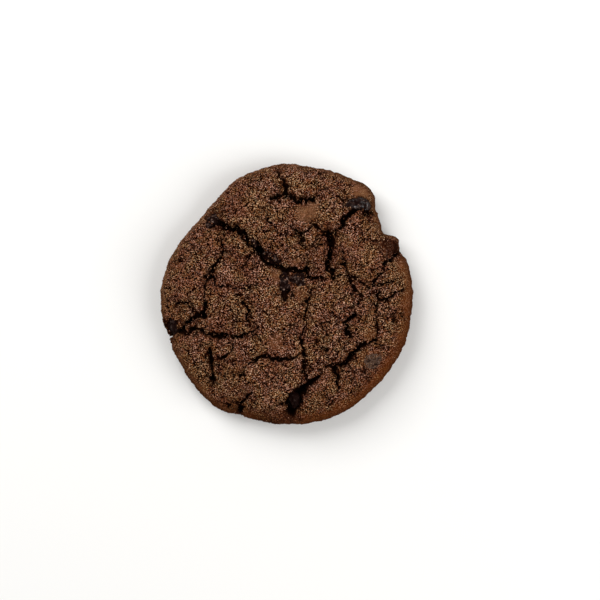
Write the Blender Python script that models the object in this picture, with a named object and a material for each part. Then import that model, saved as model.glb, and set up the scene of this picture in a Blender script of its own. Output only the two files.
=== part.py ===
"""A round double chocolate cookie: a cracked, lumpy crust with chocolate chips set in it.

Metres and +Z up. The origin is the middle of the flat base that the cookie rests on.

The crust is worked out on a flat disc, as if it were peeled off and rolled out: a point's distance
from the middle is the run from the top's centre, over the shoulder, down to the base's edge. Cracks,
lumps and chip pockets are laid out there, and wrap() folds the disc back over the cookie's section.
"""

import math

import bpy
import numpy as np
from mathutils import Vector
from mathutils.geometry import delaunay_2d_cdt

MM = 0.001
TURN = 2 * math.pi

# The whole cookie, in millimetres
RADIUS = 31.75
HEIGHT = 14.0
EQUATOR_HEIGHT = 4.5
SHOULDER_POWER = 4.0
TUCK_REACH = 2.5
TUCK_ANGLE = math.radians(70)

# Plan outline: angle in degrees from +X towards +Y, and radius
OUTLINE = (
    (0, 31.3), (11, 31.0), (20, 30.5), (28, 30.4), (32, 28.5), (38, 29.4), (44, 30.6), (48, 32.5),
    (62, 32.9), (80, 32.2), (89, 32.5), (100, 32.1), (115, 31.1), (130, 29.2), (145, 29.0),
    (165, 30.8), (180, 31.6), (195, 31.9), (205, 31.8), (215, 32.0), (230, 33.0), (240, 33.4),
    (250, 32.6), (265, 32.5), (285, 32.8), (305, 32.3), (318, 31.9), (335, 31.75), (347, 31.4),
)

# Uneven surface: height and span of the dough's lumps and pebbles, and how far the crust between
# cracks swells up within a span of their edges. It all fades out towards the base.
LUMP_HEIGHT = 0.55
LUMP_SPAN = 6.0
PEBBLE_HEIGHT = 0.32
PEBBLE_SPAN = 2.2
PLATE_SWELL = 0.55
PLATE_SPAN = 2.6
BASE_FADE = 3.0

# Runs where the rim's smooth dough starts and is full, and how far it calms lumps and pebbles
RIM_STARTS = 29.0
RIM_FULL = 34.0
LUMP_CALM = 0.65
PEBBLE_CALM = 0.9

# Raised plates of crust: plan x, y, radius and rise, and how far past the radius the slope runs
PLATES = (
    (19.4, 11.5, 7.0, 0.7),
    (-10.5, -22.0, 6.0, 0.4),
    (-8.0, 20.5, 6.0, 0.4),
    (8.0, -7.0, 4.0, 0.3),
)
PLATE_SLOPE = 1.5

# Layers of the noise, one for each use
LUMP_LAYER = 1
PEBBLE_LAYER = 2
WANDER_LAYERS = (3, 4)

# Noise: whole numbers that scramble a lattice place, and the gain that brings it to about -1 to 1
SCRAMBLE = (374761393, 668265263, 974634777, 1274126177)
WORD = 0xFFFFFFFF
NOISE_GAIN = 1.5

# Cracks: depth for their width, the wander of their lines, and the spacing of their points
CRACK_DEPTH = 0.5
CRACK_DEPTH_PER_WIDTH = 1.4
CRACK_DEEPEST = 4.0
CRACK_SECTION_POWER = 3
WANDER = 0.7
WANDER_SPAN = 2.2
CRACK_STEP = 1.2

# Each crack runs through plan points (x, y, width). One that leaves the outline runs down the side.
CRACKS = {
    "upper_left_split": (
        (-18.6, 18.4, 2.0), (-16.9, 17.5, 2.0), (-14.6, 16.3, 1.3), (-12.4, 16.0, 1.2),
        (-9.4, 12.8, 1.5), (-7.9, 12.0, 1.9), (-4.4, 9.0, 1.5), (-0.6, 6.0, 1.3),
        (2.4, 5.5, 0.9), (4.6, 5.7, 0.8), (7.1, 3.2, 0.6), (8.6, 3.5, 0.3),
    ),
    "split_branch": ((-7.9, 10.5, 0.8), (-10.1, 8.0, 0.6), (-11.6, 6.8, 0.3)),
    "left_fork": (
        (-16.6, 13.5, 0.4), (-15.6, 10.8, 0.5), (-18.4, 6.0, 0.9), (-18.9, 4.2, 1.1),
        (-17.9, 2.0, 0.7), (-15.9, 2.0, 0.4), (-11.1, 1.2, 0.5), (-8.6, 2.2, 0.3),
    ),
    "left_edge": (
        (-19.1, 7.2, 0.3), (-20.4, 2.2, 0.7), (-20.4, -0.8, 0.7), (-20.1, -4.0, 1.3),
        (-21.4, -5.2, 1.5), (-22.9, -5.5, 1.3), (-25.4, -7.8, 0.6), (-26.6, -9.0, 0.7),
    ),
    "left_edge_branch": ((-28.1, -2.8, 0.5), (-25.4, -2.0, 0.8), (-23.1, -4.8, 0.9)),
    "left_notch": (
        (-32.4, -12.0, 1.6), (-29.8, -10.8, 1.6), (-28.1, -9.8, 1.1), (-27.0, -9.2, 1.4),
        (-25.1, -9.8, 1.1), (-22.9, -8.5, 0.7), (-21.1, -8.8, 0.9), (-18.6, -10.5, 1.2),
        (-15.4, -9.8, 1.1), (-11.6, -10.5, 0.8), (-7.1, -8.5, 0.3),
    ),
    "left_middle": ((-10.6, -1.2, 0.4), (-9.6, -4.0, 0.8), (-9.4, -7.0, 0.4)),
    "lower_left": (
        (-19.6, -13.8, 0.4), (-19.1, -15.5, 1.1), (-18.6, -19.0, 0.7), (-18.4, -21.0, 1.1),
        (-18.6, -23.0, 0.6),
    ),
    "lower_left_notch": (
        (-9.6, -24.8, 0.5), (-10.9, -26.4, 1.2), (-11.9, -28.4, 1.5), (-12.0, -30.4, 0.9),
    ),
    "lower_middle": (
        (-9.4, -17.0, 0.4), (-6.4, -15.5, 0.8), (-3.9, -15.8, 1.2), (0.1, -16.2, 0.7),
        (2.9, -14.8, 0.4),
    ),
    "centre_line": (
        (6.1, 1.0, 0.4), (4.4, -3.8, 0.6), (4.1, -8.0, 0.3), (3.4, -11.8, 0.7),
        (4.1, -15.0, 0.7), (3.9, -17.0, 0.6), (4.9, -21.5, 0.5),
    ),
    "bottom_split": (
        (8.4, -20.0, 0.4), (5.6, -22.2, 1.3), (4.1, -23.4, 1.9), (2.6, -25.2, 2.8),
        (1.8, -27.0, 3.4), (1.3, -28.8, 3.0), (1.2, -30.4, 1.8),
    ),
    "lower_right": (
        (7.6, -18.8, 0.4), (10.1, -18.0, 0.6), (13.4, -17.2, 1.2), (16.1, -15.2, 1.4),
        (18.4, -12.8, 1.0), (21.6, -11.5, 0.6), (24.4, -13.2, 0.3),
    ),
    "lower_right_branch": (
        (12.4, -17.5, 1.2), (11.9, -19.0, 1.1), (12.4, -20.5, 1.2), (12.6, -24.5, 0.3),
    ),
    "right_middle": (
        (16.4, -3.8, 0.4), (16.6, -5.0, 1.0), (14.4, -7.0, 0.5), (14.9, -9.8, 1.2),
        (15.4, -11.0, 0.6),
    ),
    "right_line": (
        (22.4, 1.2, 0.5), (22.4, -0.8, 0.9), (22.1, -4.5, 0.6), (22.1, -7.5, 0.5),
        (21.9, -11.5, 0.5),
    ),
    "right_branch": ((22.4, -1.2, 0.5), (25.6, -0.8, 0.5), (28.6, 1.0, 0.3)),
    "right_shoulder": (
        (28.4, 11.2, 0.8), (24.9, 8.0, 1.0), (23.6, 6.0, 0.5), (21.9, 3.2, 0.6),
        (20.9, 2.2, 1.1),
    ),
    "plate_lower_edge": ((15.4, 4.5, 0.7), (18.6, 2.2, 0.5), (20.4, 2.0, 0.8)),
    "plate_left_edge": (
        (13.9, 7.0, 0.5), (15.1, 4.5, 0.9), (16.6, 1.2, 0.8), (17.6, -0.2, 1.0),
        (18.6, -1.0, 0.4),
    ),
    "upper_right_trough": (
        (10.1, 15.2, 1.2), (10.9, 13.2, 1.8), (10.4, 9.5, 1.5), (10.9, 5.5, 1.0),
        (11.4, 3.8, 0.5),
    ),
    "upper_right": ((12.1, 15.5, 0.7), (14.1, 18.2, 1.3), (16.4, 21.0, 1.1), (19.9, 22.0, 0.6)),
    "upper_middle": (
        (0.6, 16.2, 0.6), (3.1, 14.8, 0.9), (4.6, 15.2, 0.6), (6.6, 17.5, 0.5),
        (9.1, 15.2, 0.8), (10.4, 15.0, 1.0),
    ),
    "top_notch": ((-2.1, 31.2, 0.8), (-1.9, 29.8, 0.9), (-0.1, 26.5, 1.1), (-0.4, 24.2, 0.8)),
    "top_line": (
        (-3.9, 24.0, 0.6), (-2.6, 24.5, 1.1), (0.6, 24.0, 1.0), (2.1, 23.0, 0.9),
        (5.1, 23.2, 1.1), (8.4, 24.5, 0.3),
    ),
}

# Chips: plan x, y, length, width, turn in degrees, depth held in the dough, rise of the crown
# above the chip's rim, and how far the rim lies below the crust
CHIPS = {
    "chip_rim": (18.3, 22.7, 6.9, 2.6, 10, 2.2, 0.7, 0.3),
    "chip_middle": (-0.6, 1.9, 6.0, 2.4, 95, 2.0, 0.5, 0.3),
    "chip_middle_right": (3.0, 3.6, 4.2, 2.4, 0, 1.8, 0.5, 0.3),
    "chip_seam": (-3.9, 8.7, 5.6, 2.0, -35, 2.0, 0.7, 0.7),
    "chip_seam_small": (-8.5, 12.4, 2.4, 1.9, -50, 1.6, 0.6, 0.6),
    "chip_upper_left": (-19.2, 18.6, 4.8, 4.0, 140, 2.2, 0.5, 0.3),
    "chip_lower_right": (20.9, -16.4, 4.5, 3.2, 10, 2.0, 0.3, 0.1),
    "chip_split": (1.7, -27.0, 4.2, 3.0, 80, 2.0, 0.8, 1.7),
    "chip_left_edge": (-28.8, -8.3, 3.6, 3.0, 107, 1.8, 0.5, 0.4),
}
CHIP_GAP = 0.32
CHIP_RIM_STEP = 0.85
CHIP_RINGS = (1.0, 0.92, 0.72, 0.4)
CHIP_WALL = 0.25
CHIP_FEWEST_SIDES = 9
CHIP_SEED = 1.0
CHIP_SEED_STEP = 1.7

# Uneven chips: lobes round the outline, their height as a share of the radius, and their phase
CHIP_LOBES = ((2, 0.07, 1.0), (3, 0.05, 2.3))

# Crust round a pocket blends into the height of its chip, from and over these shares of the chip
SEAT_END = 1.6
SEAT_BLEND = 0.5

# Spacing of the crust's points: on the top, down the side, and the run where one turns into the
# other; the closest that points may stand, there and in a pocket; and the darts thrown for the fill
TOP_SPACING = 0.86
SIDE_SPACING = 1.45
SPACING_TURNS_AT = 23.0
SPACING_TURNS_OVER = 14.0
BASE_EDGE_POINTS = 150
CLOSEST = 0.34
CLOSEST_IN_POCKET = 0.1
DARTS = 34000
SEED = 11
CRACK_FAR = 100.0
MERGE = 1e-4
ON_EDGE = 0.01
SHARP_ANGLE = math.radians(50)


def smoothstep(value):
    """0 below 0, 1 above 1, and a smooth rise between."""
    value = np.clip(value, 0.0, 1.0)
    return value * value * (3.0 - 2.0 * value)


def make_profile(samples=1500):
    """Columns of the cookie's section: run from the top's centre, radius, height, and the normal."""
    turn = np.linspace(0, 1, samples) ** 2 * math.pi / 2
    top_radius = RADIUS * np.sin(turn) ** (2 / SHOULDER_POWER)
    top_height = EQUATOR_HEIGHT + (HEIGHT - EQUATOR_HEIGHT) * np.cos(turn)
    tuck = np.linspace(0, TUCK_ANGLE, samples // 4)[1:]
    tuck_radius = RADIUS - TUCK_REACH * (1 - np.cos(tuck)) / (1 - math.cos(TUCK_ANGLE))
    tuck_height = EQUATOR_HEIGHT * (1 - np.sin(tuck) / math.sin(TUCK_ANGLE))
    radius = np.concatenate((top_radius, tuck_radius))
    height = np.concatenate((top_height, tuck_height))
    run = np.concatenate(([0.0], np.cumsum(np.hypot(np.diff(radius), np.diff(height)))))
    along_radius, along_height = np.gradient(radius, run), np.gradient(height, run)
    return {
        "run": run,
        "radius": radius,
        "height": height,
        "normal_radius": -along_height,
        "normal_height": along_radius,
        "equator": run[samples - 1],
        "end": run[-1],
    }


PROFILE = make_profile()


def outline_radius(angle):
    """Plan radius at angles in radians: a smooth closed curve through the outline's points."""
    points = np.array(OUTLINE, dtype=float)
    at = np.radians(np.concatenate((points[-2:, 0] - 360, points[:, 0], points[:2, 0] + 360)))
    value = np.concatenate((points[-2:, 1], points[:, 1], points[:2, 1]))
    slope = np.gradient(value, at)
    angle = np.mod(angle, TURN)
    i = np.clip(np.searchsorted(at, angle, side="right") - 1, 0, len(at) - 2)
    span = at[i + 1] - at[i]
    t = (angle - at[i]) / span
    return (
        value[i] * (1 + 2 * t) * (1 - t) ** 2
        + value[i + 1] * t * t * (3 - 2 * t)
        + slope[i] * span * t * (1 - t) ** 2
        - slope[i + 1] * span * t * t * (1 - t)
    )


def lay_out(plan):
    """Flat crust coordinates of plan points (n, 2). Those past the outline lie down the side."""
    plan = np.asarray(plan, dtype=float)
    angle = np.arctan2(plan[:, 1], plan[:, 0])
    radius = np.hypot(plan[:, 0], plan[:, 1])
    edge = outline_radius(angle)
    top = PROFILE["run"] <= PROFILE["equator"]
    share = np.minimum(radius / edge, 1.0) * RADIUS
    run = np.interp(share, PROFILE["radius"][top], PROFILE["run"][top])
    run = run + np.maximum(radius - edge, 0.0)
    return np.column_stack((run * np.cos(angle), run * np.sin(angle)))


def wrap(crust, rise):
    """Places in millimetres of flat crust points (n, 2) lifted off the section by rise (n)."""
    run = np.hypot(crust[:, 0], crust[:, 1])
    angle = np.arctan2(crust[:, 1], crust[:, 0])
    radius = np.interp(run, PROFILE["run"], PROFILE["radius"]) * outline_radius(angle) / RADIUS
    radius = radius + rise * np.interp(run, PROFILE["run"], PROFILE["normal_radius"])
    height = np.interp(run, PROFILE["run"], PROFILE["height"])
    height = height + rise * np.interp(run, PROFILE["run"], PROFILE["normal_height"])
    return np.column_stack((radius * np.cos(angle), radius * np.sin(angle), height))


def lattice(column, row, layer):
    """A number from 0 to 1 for each whole-numbered place of a lattice, the same each run."""
    mixed = (column * SCRAMBLE[0] + row * SCRAMBLE[1] + layer * SCRAMBLE[2]) & WORD
    mixed = ((mixed ^ (mixed >> 13)) * SCRAMBLE[3]) & WORD
    return (mixed ^ (mixed >> 16)) / WORD


def field(points, span, layer):
    """Smooth noise from about -1 to 1 at flat points (n, 2), one bump every span.

    Each place of a square lattice, a span apart, tilts a little ramp by its own angle. A point
    takes a smooth mix of the ramps of the four places round it.
    """
    column, row = np.floor(points / span).astype(np.int64).T
    x, y = (points / span).T - (column, row)
    blend_x, blend_y = (t**3 * (t * (6 * t - 15) + 10) for t in (x, y))
    ramps = []
    for right, up in ((0, 0), (1, 0), (0, 1), (1, 1)):
        tilt = TURN * lattice(column + right, row + up, layer)
        ramps.append((x - right) * np.cos(tilt) + (y - up) * np.sin(tilt))
    low = ramps[0] + blend_x * (ramps[1] - ramps[0])
    high = ramps[2] + blend_x * (ramps[3] - ramps[2])
    return NOISE_GAIN * (low + blend_y * (high - low))


def wander(points):
    """Points (n, 2) shifted a little from their places, neighbours alike, so lines run ragged."""
    shift = np.column_stack([field(points, WANDER_SPAN, layer) for layer in WANDER_LAYERS])
    return points + WANDER * shift


def crack_line(path):
    """A crack on the flat crust: ragged points every CRACK_STEP or less, and their widths."""
    path = np.array(path)
    corners = lay_out(path[:, :2])
    points, widths = [corners[:1]], [path[:1, 2]]
    for i in range(len(path) - 1):
        steps = max(1, math.ceil(math.dist(corners[i], corners[i + 1]) / CRACK_STEP))
        t = np.linspace(0, 1, steps + 1)[1:]
        points.append(corners[i] + t[:, None] * (corners[i + 1] - corners[i]))
        widths.append(path[i, 2] + t * (path[i + 1, 2] - path[i, 2]))
    return wander(np.concatenate(points)), np.concatenate(widths)


CRACK_LINES = {name: crack_line(path) for name, path in CRACKS.items()}


def chip_wobble(seed, angle):
    """Uneven outline of a chip: a factor near 1 round its ellipse."""
    return 1 + sum(height * np.sin(lobes * angle + phase * seed) for lobes, height, phase in CHIP_LOBES)


class Chip:
    """One chocolate chip: an uneven lens whose lower half fills a pocket in the dough."""

    def __init__(self, name, row, seed):
        x, y, length, width, turn, self.depth, self.crown, self.sink = row
        self.name = name
        self.seed = seed
        self.half = np.array((length, width)) / 2
        self.turn = math.radians(turn)
        self.centre = lay_out([(x, y)])[0]
        self.sides = max(CHIP_FEWEST_SIDES, round(math.pi * (length + width) / 2 / CHIP_RIM_STEP))

    def ring(self, share, margin=0.0):
        """Flat crust points round the chip, at a share of its outline widened by a margin."""
        angle = np.arange(self.sides) * TURN / self.sides
        half = (self.half + margin) * share
        reach = chip_wobble(self.seed, angle)[:, None]
        local = reach * half * np.column_stack((np.cos(angle), np.sin(angle)))
        turned_x = local[:, 0] * math.cos(self.turn) - local[:, 1] * math.sin(self.turn)
        turned_y = local[:, 0] * math.sin(self.turn) + local[:, 1] * math.cos(self.turn)
        return self.centre + np.column_stack((turned_x, turned_y))

    def share(self, points, margin):
        """How far out points lie: 0 at the chip's centre and 1 on its outline plus the margin."""
        offset = points - self.centre
        local_x = offset[:, 0] * math.cos(self.turn) + offset[:, 1] * math.sin(self.turn)
        local_y = offset[:, 1] * math.cos(self.turn) - offset[:, 0] * math.sin(self.turn)
        half = self.half + margin
        u, v = local_x / half[0], local_y / half[1]
        return np.hypot(u, v) / chip_wobble(self.seed, np.arctan2(v, u))

    def bowl(self, share):
        """Section of the lower half: 1 in the middle, falling steeply to 0 at the outline."""
        return np.sqrt(np.clip(1 - np.asarray(share) ** 2, 0, 1))

    def pocket(self, points):
        """Depth of the pocket below the level crust at points, 0 outside it."""
        share = self.share(points, CHIP_GAP)
        inside = self.sink + (self.depth + CHIP_GAP) * self.bowl(share)
        wall = self.sink * (1 - (share - 1) * self.half.min() / CHIP_WALL)
        return np.where(share < 1 + MERGE, inside, np.clip(wall, 0, None))


CHIP_LIST = [
    Chip(name, row, CHIP_SEED + CHIP_SEED_STEP * i) for i, (name, row) in enumerate(CHIPS.items())
]


def crack_depth(points):
    """Depth of the cracks at points (n, 2), and the distance to the nearest crack's edge."""
    depth = np.zeros(len(points))
    clear = np.full(len(points), CRACK_FAR)
    for line, widths in CRACK_LINES.values():
        for i in range(len(line) - 1):
            along = line[i + 1] - line[i]
            t = np.clip((points - line[i]) @ along / (along @ along), 0, 1)
            gap = np.linalg.norm(points - line[i] - t[:, None] * along, axis=1)
            width = widths[i] + t * (widths[i + 1] - widths[i])
            full = np.minimum(CRACK_DEPTH + CRACK_DEPTH_PER_WIDTH * width, CRACK_DEEPEST)
            across = np.clip(gap / (width / 2), 0, 1)
            depth = np.maximum(depth, full * (1 - across**CRACK_SECTION_POWER))
            clear = np.minimum(clear, gap - width / 2)
    return depth, np.maximum(clear, 0)


def level(points):
    """Height of the crust off the section at points (n, 2), cracks and pockets not yet cut."""
    clear = crack_depth(points)[1]
    run = np.hypot(points[:, 0], points[:, 1])
    rim = smoothstep((run - RIM_STARTS) / (RIM_FULL - RIM_STARTS))
    rise = LUMP_HEIGHT * (1 - LUMP_CALM * rim) * field(points, LUMP_SPAN, LUMP_LAYER)
    pebbles = PEBBLE_HEIGHT * (1 - PEBBLE_CALM * rim) * field(points, PEBBLE_SPAN, PEBBLE_LAYER)
    rise = rise + pebbles
    rise = rise + PLATE_SWELL * (smoothstep(clear / PLATE_SPAN) - 1)
    for x, y, radius, height in PLATES:
        centre = lay_out([(x, y)])[0]
        out = np.linalg.norm(points - centre, axis=1) / radius
        rise = rise + height * smoothstep(PLATE_SLOPE - out)
    return rise


def relief(points):
    """Height of the finished crust off the section at points (n, 2)."""
    rise = level(points)
    cut = crack_depth(points)[0]
    for chip in CHIP_LIST:
        share = chip.share(points, CHIP_GAP)
        seat = level(chip.centre[None, :])[0]
        rise = rise + (seat - rise) * smoothstep((SEAT_END - share) / SEAT_BLEND)
        cut = np.maximum(cut, chip.pocket(points))
    fade = smoothstep((PROFILE["end"] - np.hypot(points[:, 0], points[:, 1])) / BASE_FADE)
    return (rise - cut) * fade


class Scatter:
    """Points of the flat crust, each kept only where it stands clear of the earlier ones."""

    def __init__(self):
        self.points = np.zeros((0, 2))
        self.edges = []

    def add(self, point, spacing):
        """Index of a new point, or of the one already within the spacing."""
        if len(self.points):
            gap = np.hypot(*(self.points - point).T)
            nearest = int(np.argmin(gap))
            if gap[nearest] < spacing:
                return nearest
        self.points = np.vstack((self.points, point))
        return len(self.points) - 1

    def line(self, points, spacing, closed=False):
        """A run of points joined by edges that the mesh must keep."""
        indices = [self.add(point, spacing) for point in points]
        ends = indices[1:] + indices[:1] if closed else indices[1:]
        self.edges += [(a, b) for a, b in zip(indices, ends) if a != b]


def outside_pockets(points, margin):
    """Which points lie clear of every chip's pocket by a margin in millimetres."""
    clear = np.ones(len(points), dtype=bool)
    for chip in CHIP_LIST:
        clear &= chip.share(points, CHIP_GAP) > 1 + margin / chip.half.min()
    return clear


def scatter_crust():
    """All points and kept edges of the crust: base edge, pockets, cracks, then the fill."""
    scatter = Scatter()
    angle = np.arange(BASE_EDGE_POINTS) * TURN / BASE_EDGE_POINTS
    edge = PROFILE["end"] * np.column_stack((np.cos(angle), np.sin(angle)))
    scatter.line(edge, CLOSEST, closed=True)
    for chip in CHIP_LIST:
        for share in CHIP_RINGS:
            scatter.line(chip.ring(share, CHIP_GAP), CLOSEST_IN_POCKET, closed=True)
        scatter.add(chip.centre, CLOSEST_IN_POCKET)
        if chip.sink:
            wall = 1 + CHIP_WALL / chip.half.min()
            scatter.line(chip.ring(wall, CHIP_GAP), CLOSEST_IN_POCKET, closed=True)
    borders = []
    for line, widths in CRACK_LINES.values():
        clear = outside_pockets(line, CHIP_WALL + CLOSEST)
        start = 0
        for stop in range(len(line) + 1):
            if stop == len(line) or not clear[stop]:
                scatter.line(line[start:stop], CLOSEST)
                start = stop + 1
        across = np.gradient(line, axis=0)[:, ::-1] * (-1, 1)
        across = across / np.linalg.norm(across, axis=1)[:, None]
        for side in (-0.5, 0.5):
            borders.append(line + side * across * widths[:, None])
    for border in borders:
        for point in border[outside_pockets(border, CHIP_WALL + CLOSEST)]:
            scatter.add(point, CLOSEST)
    random = np.random.default_rng(SEED)
    run = PROFILE["end"] * np.sqrt(random.random(DARTS))
    angle = TURN * random.random(DARTS)
    darts = np.column_stack((run * np.cos(angle), run * np.sin(angle)))
    side = smoothstep((run - SPACING_TURNS_AT) / SPACING_TURNS_OVER)
    spacing = TOP_SPACING + (SIDE_SPACING - TOP_SPACING) * side
    free = outside_pockets(darts, CHIP_WALL + CLOSEST) & (run < PROFILE["end"] - SIDE_SPACING / 2)
    for point, gap in zip(darts[free], spacing[free]):
        scatter.add(point, gap)
    return scatter


def make_object(name, places, faces, material, origin=(0, 0, 0)):
    """A smooth shaded object from places in millimetres, with its own origin."""
    mesh = bpy.data.meshes.new(name)
    mesh.from_pydata((places - np.asarray(origin)) * MM, [], faces)
    mesh.update()
    mesh.shade_smooth()
    mesh.set_sharp_from_angle(angle=SHARP_ANGLE)
    mesh.materials.append(material)
    made = bpy.data.objects.new(name, mesh)
    made.location = np.asarray(origin) * MM
    bpy.context.scene.collection.objects.link(made)
    return made


def make_material(name, colour, roughness):
    """A plain material of one colour."""
    material = bpy.data.materials.new(name)
    material.use_nodes = True
    shader = material.node_tree.nodes["Principled BSDF"]
    shader.inputs["Base Color"].default_value = (*colour, 1)
    shader.inputs["Roughness"].default_value = roughness
    shader.inputs["Metallic"].default_value = 0
    return material


def make_cookie(material):
    """The dough: the wrapped crust closed by its flat base."""
    scatter = scatter_crust()
    points = [Vector(point) for point in scatter.points]
    corners, _, faces = delaunay_2d_cdt(points, scatter.edges, [], 0, MERGE, False)[:3]
    flat = np.array([tuple(corner) for corner in corners])
    run = np.hypot(flat[:, 0], flat[:, 1])
    rim = np.flatnonzero(run > PROFILE["end"] - ON_EDGE)
    rim = rim[np.argsort(np.arctan2(flat[rim, 1], flat[rim, 0]))]
    faces.append(tuple(int(i) for i in rim[::-1]))
    places = wrap(flat, relief(flat))
    places[rim, 2] = 0
    return make_object("cookie", places, faces, material)


def make_chip(chip, material, parent):
    """A chip: rings from the foot of its pocket out to its rim and in again over the crown."""
    seat = level(chip.centre[None, :])[0] - chip.sink
    flat, rise = [chip.centre[None, :]], [np.array([seat - chip.depth])]
    for share in reversed(CHIP_RINGS):
        flat.append(chip.ring(share))
        rise.append(np.full(chip.sides, seat - chip.depth * chip.bowl(share)))
    for share in CHIP_RINGS[1:]:
        flat.append(chip.ring(share))
        rise.append(np.full(chip.sides, seat + chip.crown * chip.bowl(share)))
    flat.append(chip.centre[None, :])
    rise.append(np.array([seat + chip.crown]))
    places = wrap(np.concatenate(flat), np.concatenate(rise))
    rings = 2 * len(CHIP_RINGS) - 1
    last = 1 + rings * chip.sides
    faces = []
    for side in range(chip.sides):
        after = (side + 1) % chip.sides
        faces.append((0, 1 + after, 1 + side))
        for ring in range(rings - 1):
            low, high = 1 + ring * chip.sides, 1 + (ring + 1) * chip.sides
            faces.append((low + side, low + after, high + after, high + side))
        top = last - chip.sides
        faces.append((top + side, top + after, last))
    made = make_object(chip.name, places, faces, material, origin=places[0])
    made.parent = parent
    return made


def main():
    for existing in list(bpy.data.objects):
        bpy.data.objects.remove(existing, do_unlink=True)
    crumb = make_material("crust", (0.085, 0.039, 0.023), 0.85)
    cookie = make_cookie(crumb)
    for chip in CHIP_LIST:
        chocolate = make_material(chip.name, (0.024, 0.014, 0.011), 0.35)
        make_chip(chip, chocolate, cookie)


main()
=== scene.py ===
"""A cracked double chocolate cookie with chocolate chips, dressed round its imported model.

The crust is worked out on a flat disc, as if it were peeled off and rolled out: a point's distance
from the middle is its run from the top's centre, over the shoulder, down to the base's edge.
Cracks, lumps, grains and chip hollows are laid out there in millimetres, and wrap() folds the disc
back over the cookie's section. Every shape is a function of whole arrays of flat points.
"""

import math
from itertools import combinations

import bpy
import numpy as np
from bpy.props import FloatProperty, FloatVectorProperty, IntProperty, PointerProperty
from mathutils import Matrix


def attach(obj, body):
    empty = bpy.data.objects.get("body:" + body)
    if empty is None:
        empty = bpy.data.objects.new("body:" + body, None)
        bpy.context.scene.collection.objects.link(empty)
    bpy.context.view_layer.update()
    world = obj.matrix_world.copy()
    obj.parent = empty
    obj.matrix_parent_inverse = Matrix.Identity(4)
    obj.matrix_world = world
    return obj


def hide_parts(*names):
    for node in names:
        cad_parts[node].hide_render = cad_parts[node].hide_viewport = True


bl_info = {
    "name": "Chocolate cookie",
    "version": (1, 0, 0),
    "blender": (4, 5, 0),
    "location": "3D View > Sidebar > Cookie",
    "description": "Builds a cracked chocolate cookie with chips round its packed model",
    "category": "Add Mesh",
}

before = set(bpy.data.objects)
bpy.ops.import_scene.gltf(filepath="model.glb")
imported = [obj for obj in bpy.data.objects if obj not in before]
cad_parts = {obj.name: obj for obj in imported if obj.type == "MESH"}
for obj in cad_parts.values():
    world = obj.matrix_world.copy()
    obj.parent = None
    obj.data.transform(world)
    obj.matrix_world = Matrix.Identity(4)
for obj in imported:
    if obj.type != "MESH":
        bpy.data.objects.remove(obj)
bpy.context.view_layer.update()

MM = 0.001
TURN = 2 * math.pi
BODY = "root"

# The cookie's section in millimetres: a top that rounds over a shoulder, and a side that tucks in
RADIUS = 31.75
HEIGHT = 14.0
EQUATOR_HEIGHT = 4.5
SHOULDER_POWER = 4.0
TUCK_REACH = 2.5
TUCK_ANGLE = math.radians(70)
PROFILE_SAMPLES = 1500

# Plan outline: angle in degrees from +X towards +Y, and radius
OUTLINE = (
    (0, 31.3), (11, 31.0), (20, 30.5), (28, 30.4), (32, 28.5), (38, 29.4), (44, 30.6), (48, 32.5),
    (62, 32.9), (80, 32.2), (89, 32.5), (100, 32.1), (115, 31.1), (130, 29.2), (145, 29.0),
    (165, 30.8), (180, 31.6), (195, 31.9), (205, 31.8), (215, 32.0), (230, 33.0), (240, 33.4),
    (250, 32.6), (265, 32.5), (285, 32.8), (305, 32.3), (318, 31.9), (335, 31.75), (347, 31.4),
)

# Noises of the crust: height in millimetres, or strength for those that only pick places, span in
# millimetres, and layer
NOISES = {
    "lumps": (0.55, 6.0, 1),
    "pebbles": (0.24, 2.2, 2),
    "rubble": (0.8, 0.8, 9),
    "hair": (1.0, 7.0, 10),
    "pits": (1.0, 1.1, 11),
    "fine": (0.1, 0.5, 12),
    "base": (1.0, 3.0, 13),
    "smooth": (1.0, 5.0, 14),
    "fringe": (1.0, 1.3, 14),
    "shallow": (1.0, 2.5, 15),
    "width": (0.32, 1.7, 16),
    "scorch_and_shade": (1.0, 1.5, 17),
    "side": (0.22, 1.5, 24),
}

# Shifts that make edges run ragged: how far in millimetres, span, and two layers. Crack lines
# wander, the crust is torn in bites of two sizes, and chip hollows are frayed as well.
WANDER = (0.7, 2.2, (3, 4))
TEAR = (0.48, 1.3, (5, 6))
BITE = (0.3, 0.6, (7, 8))
FRAY = (0.3, 0.9, (18, 19))

# First layers of the cells: hair cracks, grains, and each chip's lumps and wrinkles
HAIR_LAYER = 20
GRAIN_LAYER = 30
CHIP_LAYER = 40
LAYERS_PER_CHIP = 4

# Noise: whole numbers that scramble a lattice place, the gain that brings it to about -1 to 1, how
# far a cell's point strays in cells, and a distance past every cell
SCRAMBLE = (374761393, 668265263, 974634777, 1274126177)
WORD = 0xFFFFFFFF
NOISE_GAIN = 1.5
CELL_STRAY = 0.85
CELL_FAR = 9.0

# The crust between cracks swells up within a span of their edges. All that stands off the section
# fades out towards the base.
PLATE_SWELL = 0.55
PLATE_SPAN = 2.6
BASE_FADE = 3.0

# Runs where the rim's smooth dough starts and is full, and how far it calms lumps and pebbles
RIM_STARTS = 29.0
RIM_FULL = 34.0
LUMP_CALM = 0.65
PEBBLE_CALM = 0.4

# Raised plates of crust: plan x, y, radius and rise, and where their slope ends and is full, in
# radii
PLATES = (
    (19.4, 11.5, 7.0, 0.7),
    (-10.5, -22.0, 6.0, 0.4),
    (-8.0, 20.5, 6.0, 0.4),
    (8.0, -7.0, 4.0, 0.3),
)
PLATE_SLOPE = (1.5, 0.5)

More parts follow.
